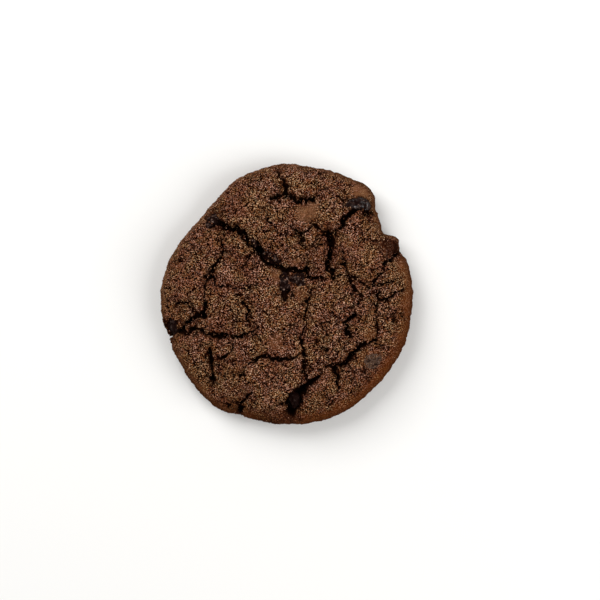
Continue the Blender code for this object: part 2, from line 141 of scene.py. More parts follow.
# Cracks: depth for their width, the power of their section, the spacing of their points, a distance
# past every crack, and how much wider than their lines say the ragged ones gape
CRACK_DEPTH = 0.5
CRACK_DEPTH_PER_WIDTH = 1.4
CRACK_DEEPEST = 4.0
CRACK_SECTION_POWER = 3
CRACK_STEP = 1.2
CRACK_FAR = 100.0
CRACK_GAPE = 0.1

# Patches where narrow cracks are shallower: by what share, between which levels of the noise, and
# the width that it leaves alone
SHALLOW_SHARE = 0.5
SHALLOW_LEVELS = (-0.625, 0.625)
SHALLOW_WIDTH = 1.3

# A lip that curls up along cracks, and the rubble down in them: its mean height, the depths of cut
# where it starts and is full, the share of it that shows through the painted shade of the cracks,
# and the depth where that painted shade is darkest
LIP_HEIGHT = 0.08
LIP_SPAN = 0.7
RUBBLE_FILL = 0.35
RUBBLE_DEPTHS = (0.7, 2.3)
RUBBLE_SHOWS = 0.9
CREVICE_DEPTH = 0.9

# Hair cracks between the large ones: cell span, width, depth, the levels of the noise between
# which they come in, how far smooth crust loses them, and how dark their painted shade is
HAIR_SPAN = 2.4
HAIR_WIDTH = 0.26
HAIR_DEPTH = 0.5
HAIR_LEVELS = (-0.3, 0.2)
HAIR_LOSS = 0.8
HAIR_DARK = 0.4

# Grains of the crust: cell span, height, reach of a dome in spans, the height on a dome that is
# level with the crust, and the least height that a grain's own number leaves it
GRAIN_SPAN = 0.58
GRAIN_HEIGHT = 0.14
GRAIN_REACH = 0.62
GRAIN_LEVEL = 0.5
GRAIN_LEAST = 0.5

# Pits where a grain is missing: depth, the levels of the noise between which they come in, and the
# share of them that smooth crust keeps. FINE_KEPT is its share of the finest unevenness.
PIT_DEPTH = 0.2
PIT_LEVELS = (0.45, 0.45 + 1 / 3)
PITS_KEPT = 0.5
FINE_KEPT = 0.35

# Runs where the grained top turns into the smoother side, how much farther down that is away from
# the shaded side, how smooth the side is, how much less so away from there, the span of the
# direction that this takes, and how far the mark of scorched dough and painted shade undoes it
GRAIN_THINS = 28.2
GRAIN_ENDS = 32.2
GRAIN_FARTHER = 2.8
SIDE_SMOOTH = 0.8
SIDE_ROUGHER = 0.22
AWAY_SPAN = 1.4
BURNT_ROUGH = 0.9

# How far two noises move the edges of smooth crust, in millimetres down the side and in radii
# round a patch, and where a smooth patch ends and is full in radii
SIDE_UNEVEN = (1.2, 0.7)
PATCH_UNEVEN = (0.24, 0.35)
SMOOTH_REACH = (1.3, 0.7)

# The run where the side's own unevenness is full
SIDE_FULL = 36.0

# Runs where the rim's darker colours start and are full, as a mark for them: browned crust and
# painted shade
RIM_BROWNS = 27.0
RIM_BROWN = 33.0

# Grid of the crust: the share of its spacing that widens towards the base, and how many of its
# cells lie along one of the base's. The base has dimples, which end at a share of it.
GRID_WIDENS = 0.24
GRID_WIDENS_POWER = 5
BASE_COARSER = 4
BASE_DIMPLE = 0.3
BASE_LEVEL_EDGE = 0.9

# Loose grains: the share of the crust's grains that stand as stones, how far smooth crust loses
# them, the crevice that they don't reach, the run above the base without them, how far they are
# sunk in radii, their sizes as shares of the grain size, and the seeds of their draws and shapes
GRAIN_SHARE = 0.3
GRAIN_LOSS = 1.1
GRAIN_CREVICE = 0.75
BARE_BASE = 2.0
GRAIN_SUNK = 0.6
GRAIN_SIZES = (0.6, 1.15)
GRAIN_SEEDS = (5, 6)

# Crumbs: how many for each step of a crack, the fewest for a crack, and how many for each mm2 of a
# filmed chip. How far they lie from a crack's line, and how much more for its width. Their sizes
# there and on chips as shares of the crumb size, their tones, and how far they are sunk in radii
CRUMBS_PER_STEP = 2.2
CRUMBS_LEAST = 2
CRUMBS_PER_AREA = 2.5
CRUMB_SPREAD = 0.25
CRUMB_SPREAD_PER_WIDTH = 0.4
CRUMB_SIZES = (0.5, 1.3)
CHIP_CRUMB_SIZES = (0.3, 0.7)
CRUMB_TONES = (-0.3, 0.8)
CRUMB_SUNK = 0.1
CRUMB_SEEDS = (8, 9)

# The film below which a chip's hollow is bare of crumbs, and between which shares of their size
# stones are stretched, and of that their corners lie
BARE_FILM = 0.25
STONE_RADII = (0.7, 1.15)
STONE_CORNERS = (0.8, 1.15)

# Each crack runs through plan points (x, y, width). One that leaves the outline runs down the side.
CRACKS = {
    "upper_left_split": (
        (-18.6, 18.4, 2.0), (-16.9, 17.5, 2.0), (-14.6, 16.3, 1.5), (-12.4, 16.0, 1.5),
        (-9.4, 12.8, 2.0), (-7.9, 11.6, 2.2), (-4.6, 8.4, 2.0), (-0.7, 5.9, 1.6),
        (2.4, 5.5, 1.3), (4.6, 5.7, 1.1), (7.1, 3.6, 0.8), (8.6, 3.5, 0.4),
    ),
    "split_branch": ((-7.9, 10.5, 0.8), (-10.1, 8.0, 0.6), (-11.6, 6.8, 0.3)),
    "left_fork": (
        (-16.6, 13.5, 0.4), (-15.6, 10.8, 0.5), (-18.4, 6.0, 0.9), (-18.9, 4.2, 1.1),
        (-17.9, 2.0, 0.7), (-15.9, 2.0, 0.4), (-11.1, 1.2, 0.5), (-8.6, 2.2, 0.3),
    ),
    "left_edge": (
        (-19.1, 7.2, 0.3), (-20.4, 2.2, 0.7), (-20.4, -0.8, 0.7), (-20.1, -4.0, 1.3),
        (-21.4, -5.2, 1.5), (-22.9, -5.5, 1.3), (-25.4, -7.8, 0.6), (-26.6, -9.0, 0.7),
    ),
    "left_edge_branch": ((-28.1, -2.8, 0.5), (-25.4, -2.0, 0.8), (-23.1, -4.8, 0.9)),
    "left_notch": (
        (-32.4, -12.0, 1.6), (-29.8, -10.8, 1.6), (-28.1, -9.8, 1.1), (-27.0, -9.2, 1.4),
        (-25.1, -9.8, 1.1), (-22.9, -8.5, 0.7), (-21.1, -8.8, 0.9), (-18.6, -10.5, 1.2),
        (-15.4, -9.8, 1.1), (-11.6, -10.5, 0.8), (-7.1, -8.5, 0.3),
    ),
    "left_middle": ((-10.6, -1.2, 0.4), (-9.6, -4.0, 0.8), (-9.4, -7.0, 0.4)),
    "lower_left": (
        (-19.6, -13.8, 0.5), (-19.1, -15.5, 1.4), (-18.6, -19.0, 1.0), (-18.4, -21.0, 1.4),
        (-18.6, -23.0, 0.7),
    ),
    "lower_left_notch": (
        (-9.6, -24.8, 0.5), (-10.9, -26.4, 1.2), (-11.9, -28.4, 1.5), (-12.0, -30.4, 0.9),
    ),
    "lower_middle": (
        (-9.4, -17.0, 0.4), (-6.4, -15.5, 0.8), (-3.9, -15.8, 1.2), (0.1, -16.2, 0.7),
        (2.9, -14.8, 0.4),
    ),
    "centre_line": (
        (6.1, 1.0, 0.4), (4.4, -3.8, 0.6), (4.1, -8.0, 0.3), (3.4, -11.8, 0.7),
        (4.1, -15.0, 0.7), (3.9, -17.0, 0.6), (4.9, -21.5, 0.5),
    ),
    "bottom_split": (
        (8.4, -20.0, 0.4), (5.6, -22.2, 1.3), (4.1, -23.4, 1.9), (2.6, -25.2, 2.8),
        (1.8, -27.0, 3.4), (1.3, -28.8, 3.0), (1.2, -30.4, 1.8),
    ),
    "lower_right": (
        (7.6, -18.8, 0.4), (10.1, -18.0, 0.6), (13.4, -17.2, 1.2), (16.1, -15.2, 1.4),
        (18.4, -12.8, 1.0), (21.6, -11.5, 0.6), (24.4, -13.2, 0.3),
    ),
    "lower_right_branch": (
        (12.4, -17.5, 1.2), (11.9, -19.0, 1.1), (12.4, -20.5, 1.2), (12.6, -24.5, 0.3),
    ),
    "right_middle": (
        (16.4, -3.8, 0.4), (16.6, -5.0, 1.2), (14.4, -7.0, 0.6), (14.9, -9.8, 1.5),
        (15.4, -11.0, 0.6),
    ),
    "right_line": (
        (22.4, 1.2, 0.5), (22.4, -0.8, 0.9), (22.1, -4.5, 0.6), (22.1, -7.5, 0.5),
        (21.9, -11.5, 0.5),
    ),
    "right_branch": ((22.4, -1.6, 0.8), (25.6, -0.8, 0.7), (28.9, 1.2, 0.5)),
    "right_shoulder": (
        (28.4, 11.2, 0.8), (24.9, 8.0, 1.0), (23.6, 6.0, 0.5), (21.9, 3.2, 0.6),
        (20.9, 2.2, 1.1),
    ),
    "plate_lower_edge": ((15.4, 4.5, 0.7), (18.6, 2.2, 0.5), (20.4, 2.0, 0.8)),
    "plate_left_edge": (
        (13.9, 7.0, 0.5), (15.1, 4.5, 0.9), (16.6, 1.2, 0.8), (17.6, -0.2, 1.0),
        (18.6, -1.0, 0.4),
    ),
    "upper_right_trough": (
        (10.1, 15.2, 1.4), (10.9, 13.2, 2.1), (10.4, 9.5, 1.8), (10.9, 5.5, 1.5),
        (11.4, 3.4, 0.8),
    ),
    "upper_right": ((12.1, 15.5, 0.7), (14.1, 18.2, 1.3), (16.4, 21.0, 1.1), (19.9, 22.0, 0.6)),
    "upper_middle": (
        (0.6, 16.2, 0.6), (3.1, 14.8, 0.9), (4.6, 15.2, 0.6), (6.6, 17.5, 0.5),
        (9.1, 15.2, 0.8), (10.4, 15.0, 1.0),
    ),
    "top_notch": ((-2.1, 31.2, 0.8), (-1.9, 29.8, 0.9), (-0.1, 26.5, 1.1), (-0.4, 24.2, 0.8)),
    "top_line": (
        (-3.9, 24.0, 0.7), (-2.6, 24.5, 1.4), (0.6, 24.0, 1.4), (2.1, 23.2, 1.4),
        (5.1, 23.2, 1.6), (8.4, 24.5, 0.4),
    ),
}

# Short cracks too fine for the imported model, the same way
FINE_CRACKS = {
    "fork_spur": ((-15.6, 10.8, 0.5), (-14.4, 10.2, 0.5), (-12.9, 9.8, 0.3)),
    "notch_spur": ((-8.6, -9.0, 0.5), (-7.4, -9.8, 0.5), (-6.4, -11.2, 0.3)),
    "lower_left_dash": ((-14.9, -14.5, 0.5), (-15.6, -15.2, 1.0), (-16.6, -15.8, 0.4)),
    "lower_left_drop": ((-13.9, -11.5, 0.4), (-13.4, -13.2, 0.5), (-13.9, -14.8, 0.3)),
    "lower_left_tick": ((-11.6, -20.0, 0.5), (-10.4, -19.0, 0.7), (-10.1, -17.8, 0.3)),
    "centre_spur": ((3.9, -16.8, 0.5), (5.1, -17.8, 0.6), (6.6, -18.5, 0.3)),
    "split_spur": ((1.1, -27.0, 2.0), (-0.4, -27.4, 1.7), (-1.9, -27.9, 0.8)),
    "branch_foot": ((10.9, -25.0, 0.4), (10.9, -26.8, 0.5), (9.9, -28.2, 0.3)),
    "shoulder_spur": ((26.1, 4.0, 0.3), (24.1, 3.0, 0.4), (22.4, 2.2, 0.5), (21.1, 2.0, 0.7)),
    "trough_foot": ((11.1, 4.2, 0.5), (12.6, 4.5, 0.5), (14.1, 5.0, 0.6)),
    "trough_head": ((10.4, 15.0, 0.8), (11.4, 15.2, 0.6), (12.6, 16.0, 0.7)),
    "upper_drop": ((3.1, 14.8, 0.9), (3.9, 13.2, 1.0), (3.6, 12.0, 0.8), (4.4, 11.2, 0.4)),
    "upper_dash": ((5.9, 11.5, 0.4), (7.4, 12.0, 0.4), (9.1, 12.2, 0.5)),
    "upper_right_tick": ((12.9, 24.5, 0.3), (13.6, 23.2, 0.5), (14.1, 21.8, 0.3)),
    "upper_right_pit": ((18.9, 20.2, 1.2), (21.1, 19.8, 1.3)),
    "notch_feeder": ((-8.9, -24.5, 0.4), (-10.1, -25.8, 0.6)),
    "lower_left_slit": ((-15.1, -26.8, 0.9), (-14.9, -28.2, 0.5)),
    "centre_tick": ((8.1, -7.0, 0.4), (8.9, -8.5, 0.5), (9.4, -10.0, 0.3)),
    "centre_dash": ((8.4, -13.0, 0.4), (9.9, -14.2, 0.4)),
    "right_foot_dash": ((18.9, -19.5, 0.5), (19.9, -21.0, 0.5)),
    "plate_crease": ((13.6, 11.0, 0.4), (13.9, 9.0, 0.4), (13.9, 7.0, 0.4)),
    "right_dash": ((16.9, -2.0, 0.4), (18.4, -1.5, 0.4)),
    "right_rim_tick": ((25.9, -3.5, 0.4), (26.1, -6.0, 0.4), (25.9, -7.8, 0.3)),
    "right_rim_dash": ((28.1, -4.8, 0.4), (28.6, -6.0, 0.4)),
    "branch_dash": ((14.6, -18.0, 0.4), (15.6, -19.0, 0.3)),
}

# Patches where the crust is smooth: plan x, y, radius, and how smooth
SMOOTH_PATCHES = (
    (5.0, 20.0, 2.6, 0.8),
    (-2.2, 4.6, 1.8, 0.9),
    (-3.0, -12.0, 2.0, 0.6),
    (2.1, 7.1, 1.2, 0.9),
    (3.0, -0.5, 1.6, 0.7),
    (18.3, 25.4, 2.4, 0.95),
    (20.5, -15.8, 2.6, 0.5),
    (20.5, -10.5, 1.8, 0.5),
)

# Darker patches: plan x, y, radius, and how dark, with black past 1. Most are dough baked darker;
# the blackest are partly painted shade in holes, in gaps and under a lump by the rim
DARK_PATCHES = (
    (25.0, 11.8, 3.4, 1.15),
    (27.2, 11.0, 2.4, 1.4),
    (-30.2, -8.2, 2.5, 1.5),
    (-18.2, 19.4, 3.0, 1.1),
    (-16.6, 17.2, 2.2, 1.2),
    (21.0, -16.8, 2.9, 0.4),
    (-13.0, -26.5, 5.0, 0.4),
    (19.9, 20.2, 1.7, 1.2),
    (-20.4, 10.2, 2.3, 0.35),
    (-5.9, 20.5, 1.4, 0.4),
    (6.2, 8.2, 3.2, 0.5),
    (-16.4, -17.0, 1.1, 0.5),
    (10.6, 9.5, 2.4, 0.85),
    (10.5, 14.5, 2.6, 0.75),
    (-18.9, 3.2, 1.6, 0.5),
    (-21.0, -5.0, 1.8, 0.5),
    (1.0, -4.0, 8.0, 0.15),
    (-19.0, -3.0, 7.0, 0.15),
    (-15.0, -16.0, 8.0, 0.15),
    (-4.0, -31.2, 4.5, 0.7),
    (0.8, -30.8, 2.6, 1.1),
)

# Where such a patch ends and is full in radii, and how unevenly
BAKED_REACH = (1.25, 0.65)
BAKED_UNEVEN = 0.3

# Darkening along cracks, which is painted shade, and scorching round chips: how dark it is, how
# far it goes in millimetres and in shares of a chip, and how unevenly
NEAR_CRACK = 0.55
NEAR_CRACK_SPAN = 1.3
NEAR_CRACK_UNEVEN = 0.7
NEAR_CHIP = 0.85
NEAR_CHIP_REACH = (1.5, 1.0)
NEAR_CHIP_UNEVEN = 0.5

# Paler patches: plan x, y, radius, and how pale
PALE_PATCHES = (
    (19.0, 11.0, 5.0, 0.9),
    (24.5, -2.0, 6.0, 0.8),
    (18.0, -4.0, 6.0, 0.25),
    (20.0, -15.0, 5.0, 0.4),
    (25.5, 6.5, 5.0, 0.8),
    (-27.5, 9.0, 5.5, 0.6),
    (-27.0, 19.0, 5.0, 0.55),
    (-25.0, 14.5, 4.5, 0.5),
    (-30.0, 1.0, 3.5, 0.35),
)

# Chips: plan x, y, length, width, turn in degrees, depth held in the dough, rise of the crown
# above the chip's rim, and how far the rim lies below the crust
CHIPS = {
    "chip_rim": (18.3, 22.7, 6.9, 2.6, 10, 2.2, 0.7, 0.3),
    "chip_middle": (-0.6, 1.9, 6.0, 2.4, 95, 2.0, 0.5, 0.3),
    "chip_middle_right": (3.0, 3.6, 4.2, 2.4, 0, 1.8, 0.5, 0.3),
    "chip_seam": (-3.9, 8.7, 5.6, 2.0, -35, 2.0, 0.7, 0.7),
    "chip_seam_small": (-8.5, 12.4, 2.4, 1.9, -50, 1.6, 0.6, 0.6),
    "chip_upper_left": (-19.2, 18.6, 4.8, 4.0, 140, 2.2, 0.5, 0.3),
    "chip_lower_right": (20.9, -16.4, 4.5, 3.2, 10, 2.0, 0.3, 0.1),
    "chip_split": (1.7, -27.0, 4.2, 3.0, 80, 2.0, 0.8, 1.7),
    "chip_left_edge": (-28.8, -8.3, 3.6, 3.0, 107, 1.8, 0.5, 0.4),
}

# Seeds of the chips, the lobes of their outlines: count, height and phase, and their meshes' sides
# and rings
CHIP_SEED = 1.0
CHIP_SEED_STEP = 1.7
CHIP_LOBES = ((2, 0.07, 1.0), (3, 0.05, 2.3))
CHIP_SIDES = 72
CHIP_RINGS = 40

# Shares of a chip where the crust round it starts to blend into its height, and has
SEAT_REACH = (1.6, 1.1)

# The hollow that a chip shows in: its depth, and the width of its wall. The chip runs on under the
# crust to its hidden share.
HOLLOW_DEPTH = 0.7
HOLLOW_WALL = 0.22
HIDDEN_SHARE = 1.12

# How each chip looks: its film of dough and dust, its gloss, how lumpy it is, the share of it
# that its hollow shows, and the side that has sunk: a direction in degrees, and how far out that
# starts in millimetres
CHIP_LOOKS = {
    "chip_rim": (0.08, 0.75, 0.6, 1.12, 0, 9.0),
    "chip_middle": (0.4, 0.15, 1.0, 1.05, 270, 0.9),
    "chip_middle_right": (0.35, 0.15, 1.0, 1.0, 0, 9.0),
    "chip_seam": (0.4, 0.15, 1.0, 1.1, 235, 0.1),
    "chip_seam_small": (0.4, 0.15, 1.0, 1.1, 235, 0.3),
    "chip_upper_left": (0.3, 0.1, 0.9, 1.05, 320, 1.5),
    "chip_lower_right": (0.85, 0.0, 0.5, 0.95, 0, 9.0),
    "chip_split": (-0.35, 0.05, 0.9, 1.25, 200, 1.2),
    "chip_left_edge": (-0.1, 0.05, 0.9, 1.1, 0, 9.0),
}

# How far a sunk side lies down, the width of the step to it, and the thinnest that a chip may be
SUNK_DEPTH = 1.2
SUNK_SPAN = 0.7
CHIP_THINNEST = 0.15

# Lumps of the chips' crowns, the level between them, the wrinkles over them, and how much those
# clear their creases. A crown is full where its bowl is CROWN_FULL deep.
CHIP_LUMP = 0.45
CHIP_LUMP_SPAN = 1.1
CHIP_LUMP_REACH = 0.62
CHIP_LUMP_LEVEL = 0.4
CHIP_WRINKLE = 0.16
CHIP_WRINKLE_SPAN = 0.45
CHIP_WRINKLE_STRETCH = 3.0
CREASE_CLEAR = 1.5
CROWN_FULL = 1 / 3

# Directions of the cookie's side turned from the key light, in painted shade, and of the part of
# its rim with the warmest painted shade
SHADED_SIDE = (0.7, -0.7, 0.0)
WARM_SHADE_SIDE = (0.26, -0.97, 0.0)

# The table in metres: how far it reaches from the cookie, and its top, a hair under the base
TABLE_REACH = 3.0
TABLE_TOP = -0.02 * MM

# Lights: width and place in metres, and the tint of the even light from the sky
KEY_LIGHT = (0.5, (-0.35, 0.4, 0.55))
FILL_LIGHT = (0.6, (0.5, -0.2, 0.5))
SKY_COLOUR = (1.0, 0.99, 0.97, 1)

# Camera: width of its sensor in millimetres, the nearest that it sees in metres, and the plan point
# in millimetres that it hangs over
SENSOR_WIDTH = 36.0
CAMERA_NEAREST = 0.01
CAMERA_OVER = (3.1, -1.5)


def smooth_ramp(value, low, high):
    """0 at low, 1 at high, and a smooth rise between. The low end may be the larger number."""
    share = np.clip((value - low) / (high - low), 0.0, 1.0)
    return share * share * (3.0 - 2.0 * share)


def mix(first, second, share):
    """first where the share is 0, second where it is 1."""
    return first + (second - first) * share


def make_profile():
    """Columns of the cookie's section: run from the top's centre, radius, height, and the normal.

    The top is a quarter of a superellipse down to the widest level, and the tuck is part of an
    ellipse in to the base's edge.
    """
    turn = np.linspace(0, 1, PROFILE_SAMPLES) ** 2 * math.pi / 2
    top_radius = RADIUS * np.sin(turn) ** (2 / SHOULDER_POWER)
    top_height = EQUATOR_HEIGHT + (HEIGHT - EQUATOR_HEIGHT) * np.cos(turn)
    tuck = np.linspace(0, TUCK_ANGLE, PROFILE_SAMPLES // 4)[1:]
    tuck_radius = RADIUS - TUCK_REACH * (1 - np.cos(tuck)) / (1 - math.cos(TUCK_ANGLE))
    tuck_height = EQUATOR_HEIGHT * (1 - np.sin(tuck) / math.sin(TUCK_ANGLE))
    radius = np.concatenate((top_radius, tuck_radius))
    height = np.concatenate((top_height, tuck_height))
    run = np.concatenate(([0.0], np.cumsum(np.hypot(np.diff(radius), np.diff(height)))))
    along_radius, along_height = np.gradient(radius, run), np.gradient(height, run)
    return {
        "run": run,
        "radius": radius,
        "height": height,
        "normal_radius": -along_height,
        "normal_height": along_radius,
        "equator": run[PROFILE_SAMPLES - 1],
        "end": run[-1],
    }


PROFILE = make_profile()


def run_of(points):
    """Runs of flat crust points (n, 2) from the top's centre."""
    return np.hypot(points[:, 0], points[:, 1])


def outline_radius(angle):
    """Plan radius at angles in radians: a smooth closed curve through the outline's points."""
    points = np.array(OUTLINE, dtype=float)
    at = np.radians(np.concatenate((points[-2:, 0] - 360, points[:, 0], points[:2, 0] + 360)))
    value = np.concatenate((points[-2:, 1], points[:, 1], points[:2, 1]))
    slope = np.gradient(value, at)
    angle = np.mod(angle, TURN)
    i = np.clip(np.searchsorted(at, angle, side="right") - 1, 0, len(at) - 2)
    span = at[i + 1] - at[i]
    t = (angle - at[i]) / span
    return (
        value[i] * (1 + 2 * t) * (1 - t) ** 2
        + value[i + 1] * t * t * (3 - 2 * t)
        + slope[i] * span * t * (1 - t) ** 2
        - slope[i + 1] * span * t * t * (1 - t)
    )


def lay_out(plan):
    """Flat crust coordinates of plan points (n, 2). Those past the outline lie down the side."""
    plan = np.asarray(plan, dtype=float)
    angle = np.arctan2(plan[:, 1], plan[:, 0])
    radius = run_of(plan)
    edge = outline_radius(angle)
    top = PROFILE["run"] <= PROFILE["equator"]
    share = np.minimum(radius / edge, 1.0) * RADIUS
    run = np.interp(share, PROFILE["radius"][top], PROFILE["run"][top])
    run = run + np.maximum(radius - edge, 0.0)
    return np.column_stack((run * np.cos(angle), run * np.sin(angle)))


def wrap(points, rise):
    """Places in millimetres of flat crust points (n, 2) lifted off the section by rise (n)."""
    run = run_of(points)
    angle = np.arctan2(points[:, 1], points[:, 0])
    radius = np.interp(run, PROFILE["run"], PROFILE["radius"]) * outline_radius(angle) / RADIUS
    radius = radius + rise * np.interp(run, PROFILE["run"], PROFILE["normal_radius"])
    height = np.interp(run, PROFILE["run"], PROFILE["height"])
    height = height + rise * np.interp(run, PROFILE["run"], PROFILE["normal_height"])
    return np.column_stack((radius * np.cos(angle), radius * np.sin(angle), height))


def lattice(column, row, layer):
    """A number from 0 to 1 for each whole-numbered place of a lattice, the same each run."""
    mixed = (column * SCRAMBLE[0] + row * SCRAMBLE[1] + layer * SCRAMBLE[2]) & WORD
    mixed = ((mixed ^ (mixed >> 13)) * SCRAMBLE[3]) & WORD
    return (mixed ^ (mixed >> 16)) / WORD


def field(points, span, layer):
    """Smooth noise from about -1 to 1 at flat points (n, 2), one bump every span.

    Each place of a square lattice, a span apart, tilts a little ramp by its own angle. A point
    takes a smooth mix of the ramps of the four places round it.
    """
    column, row = np.floor(points / span).astype(np.int64).T
    x, y = (points / span).T - (column, row)
    blend_x, blend_y = (t**3 * (t * (6 * t - 15) + 10) for t in (x, y))
    ramps = []
    for right, up in ((0, 0), (1, 0), (0, 1), (1, 1)):
        tilt = TURN * lattice(column + right, row + up, layer)
        ramps.append((x - right) * np.cos(tilt) + (y - up) * np.sin(tilt))
    low = ramps[0] + blend_x * (ramps[1] - ramps[0])
    high = ramps[2] + blend_x * (ramps[3] - ramps[2])
    return NOISE_GAIN * (low + blend_y * (high - low))


def noise(points, name):
    """One of the crust's named noises at flat points (n, 2)."""
    height, span, layer = NOISES[name]
    return height * field(points, span, layer)


def shift(points, amount, span, layers):
    """Points (n, 2) moved a little from their places, neighbours alike, so edges run ragged."""
    return points + amount * np.column_stack([field(points, span, layer) for layer in layers])


def cell_centre(column, row, layer):
    """The point of one cell of a lattice, jittered by most of a cell, in cells."""
    x = column + 0.5 + CELL_STRAY * (lattice(column, row, layer) - 0.5)
    y = row + 0.5 + CELL_STRAY * (lattice(column, row, layer + 1) - 0.5)
    return x, y


def cells(points, span, layer):
    """Cells round jittered lattice points, at flat points (n, 2).

    Returns the distance to the nearest cell point, how much farther the second nearest is, both
    in spans, and a number from 0 to 1 that belongs to the nearest.
    """
    column, row = np.floor(points / span).astype(np.int64).T
    x, y = (points / span).T
    nearest = np.full(len(points), CELL_FAR)
    second = nearest.copy()
    own = np.zeros(len(points))
    for right in (-1, 0, 1):
        for up in (-1, 0, 1):
            centre_x, centre_y = cell_centre(column + right, row + up, layer)
            gap = np.hypot(x - centre_x, y - centre_y)
            closer = gap < nearest
            second = np.where(closer, nearest, np.minimum(second, gap))
            own = np.where(closer, lattice(column + right, row + up, layer + 2), own)
            nearest = np.minimum(nearest, gap)
    return nearest, second - nearest, own


def crack_line(path):
    """A crack on the flat crust: ragged points every CRACK_STEP or less, and their widths."""
    path = np.array(path)
    corners = lay_out(path[:, :2])
    points, widths = [corners[:1]], [path[:1, 2]]
    for i in range(len(path) - 1):
        steps = max(1, math.ceil(math.dist(corners[i], corners[i + 1]) / CRACK_STEP))
        t = np.linspace(0, 1, steps + 1)[1:]
        points.append(corners[i] + t[:, None] * (corners[i + 1] - corners[i]))
        widths.append(path[i, 2] + t * (path[i + 1, 2] - path[i, 2]))
    return shift(np.concatenate(points), *WANDER), np.concatenate(widths)


MAIN_LINES = [crack_line(path) for path in CRACKS.values()]
FINE_LINES = [crack_line(path) for path in FINE_CRACKS.values()]


class Chip:
    """One chocolate chip: an uneven lens half sunk in the dough."""

    def __init__(self, name, row, seed):
        x, y, length, width, turn, self.depth, self.crown, self.sink = row
        self.name = name
        self.seed = seed
        self.half = np.array((length, width)) / 2
        self.turn = math.radians(turn)
        self.centre = lay_out([(x, y)])[0]
        self.film, self.gloss, self.lumpy, self.hollow, side, self.sunk_from = CHIP_LOOKS[name]
        self.side = np.array((math.cos(math.radians(side)), math.sin(math.radians(side))))

    def reach(self, angle):
        """Uneven outline: a factor near 1 round the ellipse."""
        lobes = (h * np.sin(n * angle + phase * self.seed) for n, h, phase in CHIP_LOBES)
        return 1 + sum(lobes)

    def points(self, angle, share):
        """Flat crust points at angles round the chip and shares of its outline."""
        out = self.reach(angle) * share
        x, y = self.half[0] * out * np.cos(angle), self.half[1] * out * np.sin(angle)
        turned_x = x * math.cos(self.turn) - y * math.sin(self.turn)
        turned_y = x * math.sin(self.turn) + y * math.cos(self.turn)
        return self.centre + np.column_stack((turned_x, turned_y))

    def local(self, points):
        """Points in millimetres along the chip's length and across it, from its centre."""
        along = np.array((math.cos(self.turn), math.sin(self.turn)))
        across = np.array((-along[1], along[0]))
        return (points - self.centre) @ np.column_stack((along, across))

    def share(self, points):
        """How far out points lie: 0 at the chip's centre and 1 on its outline."""
        u, v = (self.local(points) / self.half).T
        return np.hypot(u, v) / self.reach(np.arctan2(v, u))

    def lumps(self, points):
        """Height of the lumps that melting and setting left on the crown, and how deep in a crease
        or on the sunk side, which the colours keep in painted shade.

        Each lump is a dome about its own point, fine wrinkles run along the chip, and one side of
        it has sunk.
        """
        layer = CHIP_LAYER + LAYERS_PER_CHIP * round(self.seed)
        moved = shift(points, *BITE)
        crease = (cells(moved, CHIP_LUMP_SPAN, layer)[0] / CHIP_LUMP_REACH) ** 2
        crease = np.clip(crease, 0, 1) * self.lumpy
        drawn_out = self.local(moved) / (CHIP_WRINKLE_STRETCH, 1)
        wrinkle = CHIP_WRINKLE * field(drawn_out, CHIP_WRINKLE_SPAN, layer + 3)
        out = (moved - self.centre) @ self.side - self.sunk_from
        sunk = smooth_ramp(out, -SUNK_SPAN / 2, SUNK_SPAN / 2)
        height = CHIP_LUMP * (CHIP_LUMP_LEVEL * self.lumpy - crease) + wrinkle - SUNK_DEPTH * sunk
        return height, np.clip(np.maximum(crease, sunk) - CREASE_CLEAR * wrinkle, 0, 1)

    def crown_height(self, points, bowl):
        """Height of the crown over the chip's rim, never below its hidden underside."""
        height, crease = self.lumps(points)
        low = CHIP_THINNEST - self.depth * bowl
        height = self.crown * bowl + height * smooth_ramp(bowl, 0, CROWN_FULL)
        return np.maximum(height, low), crease

    def seat(self):
        """Height of the crust at the chip's centre, before anything is cut."""
        return level(self.centre[None, :])[0]

    def top(self, points):
        """Height of the chip's own surface off the cookie's section, over the chip."""
        bowl = np.sqrt(np.clip(1 - (self.share(points) / HIDDEN_SHARE) ** 2, 0, 1))
        return self.seat() - self.sink + self.crown_height(points, bowl)[0]


CHIP_LIST = [
    Chip(name, row, CHIP_SEED + CHIP_SEED_STEP * i) for i, (name, row) in enumerate(CHIPS.items())
]


def crack_cut(points, lines, ragged=False):
    """Depth of cracks at points (n, 2), and the distance to the nearest crack's edge.

    Across a crack the depth is full at its line and falls to 0 at its edges by a cubic. Narrow
    cracks are shallower in patches, and ragged ones swell and pinch along their way.
    """
    shallow = SHALLOW_SHARE * smooth_ramp(noise(points, "shallow"), *SHALLOW_LEVELS)
    uneven = 1 + (noise(points, "width") if ragged else 0)
    gape = CRACK_GAPE if ragged else 0
    depth = np.zeros(len(points))
    clear = np.full(len(points), CRACK_FAR)
    for line, widths in lines:
        for i in range(len(line) - 1):
            along = line[i + 1] - line[i]
            t = np.clip((points - line[i]) @ along / (along @ along), 0, 1)
            gap = np.linalg.norm(points - line[i] - t[:, None] * along, axis=1)
            width = (gape + widths[i] + t * (widths[i + 1] - widths[i])) * uneven
            full = np.minimum(CRACK_DEPTH + CRACK_DEPTH_PER_WIDTH * width, CRACK_DEEPEST)
            full = full * (1 - shallow * np.clip(SHALLOW_WIDTH - width, 0, 1))
            across = np.clip(gap / (width / 2), 0, 1)
            depth = np.maximum(depth, full * (1 - across**CRACK_SECTION_POWER))
            clear = np.minimum(clear, gap - width / 2)
    return depth, np.maximum(clear, 0)


def radii_out(points, x, y, radius):
    """How far flat points lie from the place of a plan point, in radii of a patch round it."""
    return np.linalg.norm(points - lay_out([(x, y)])[0], axis=1) / radius


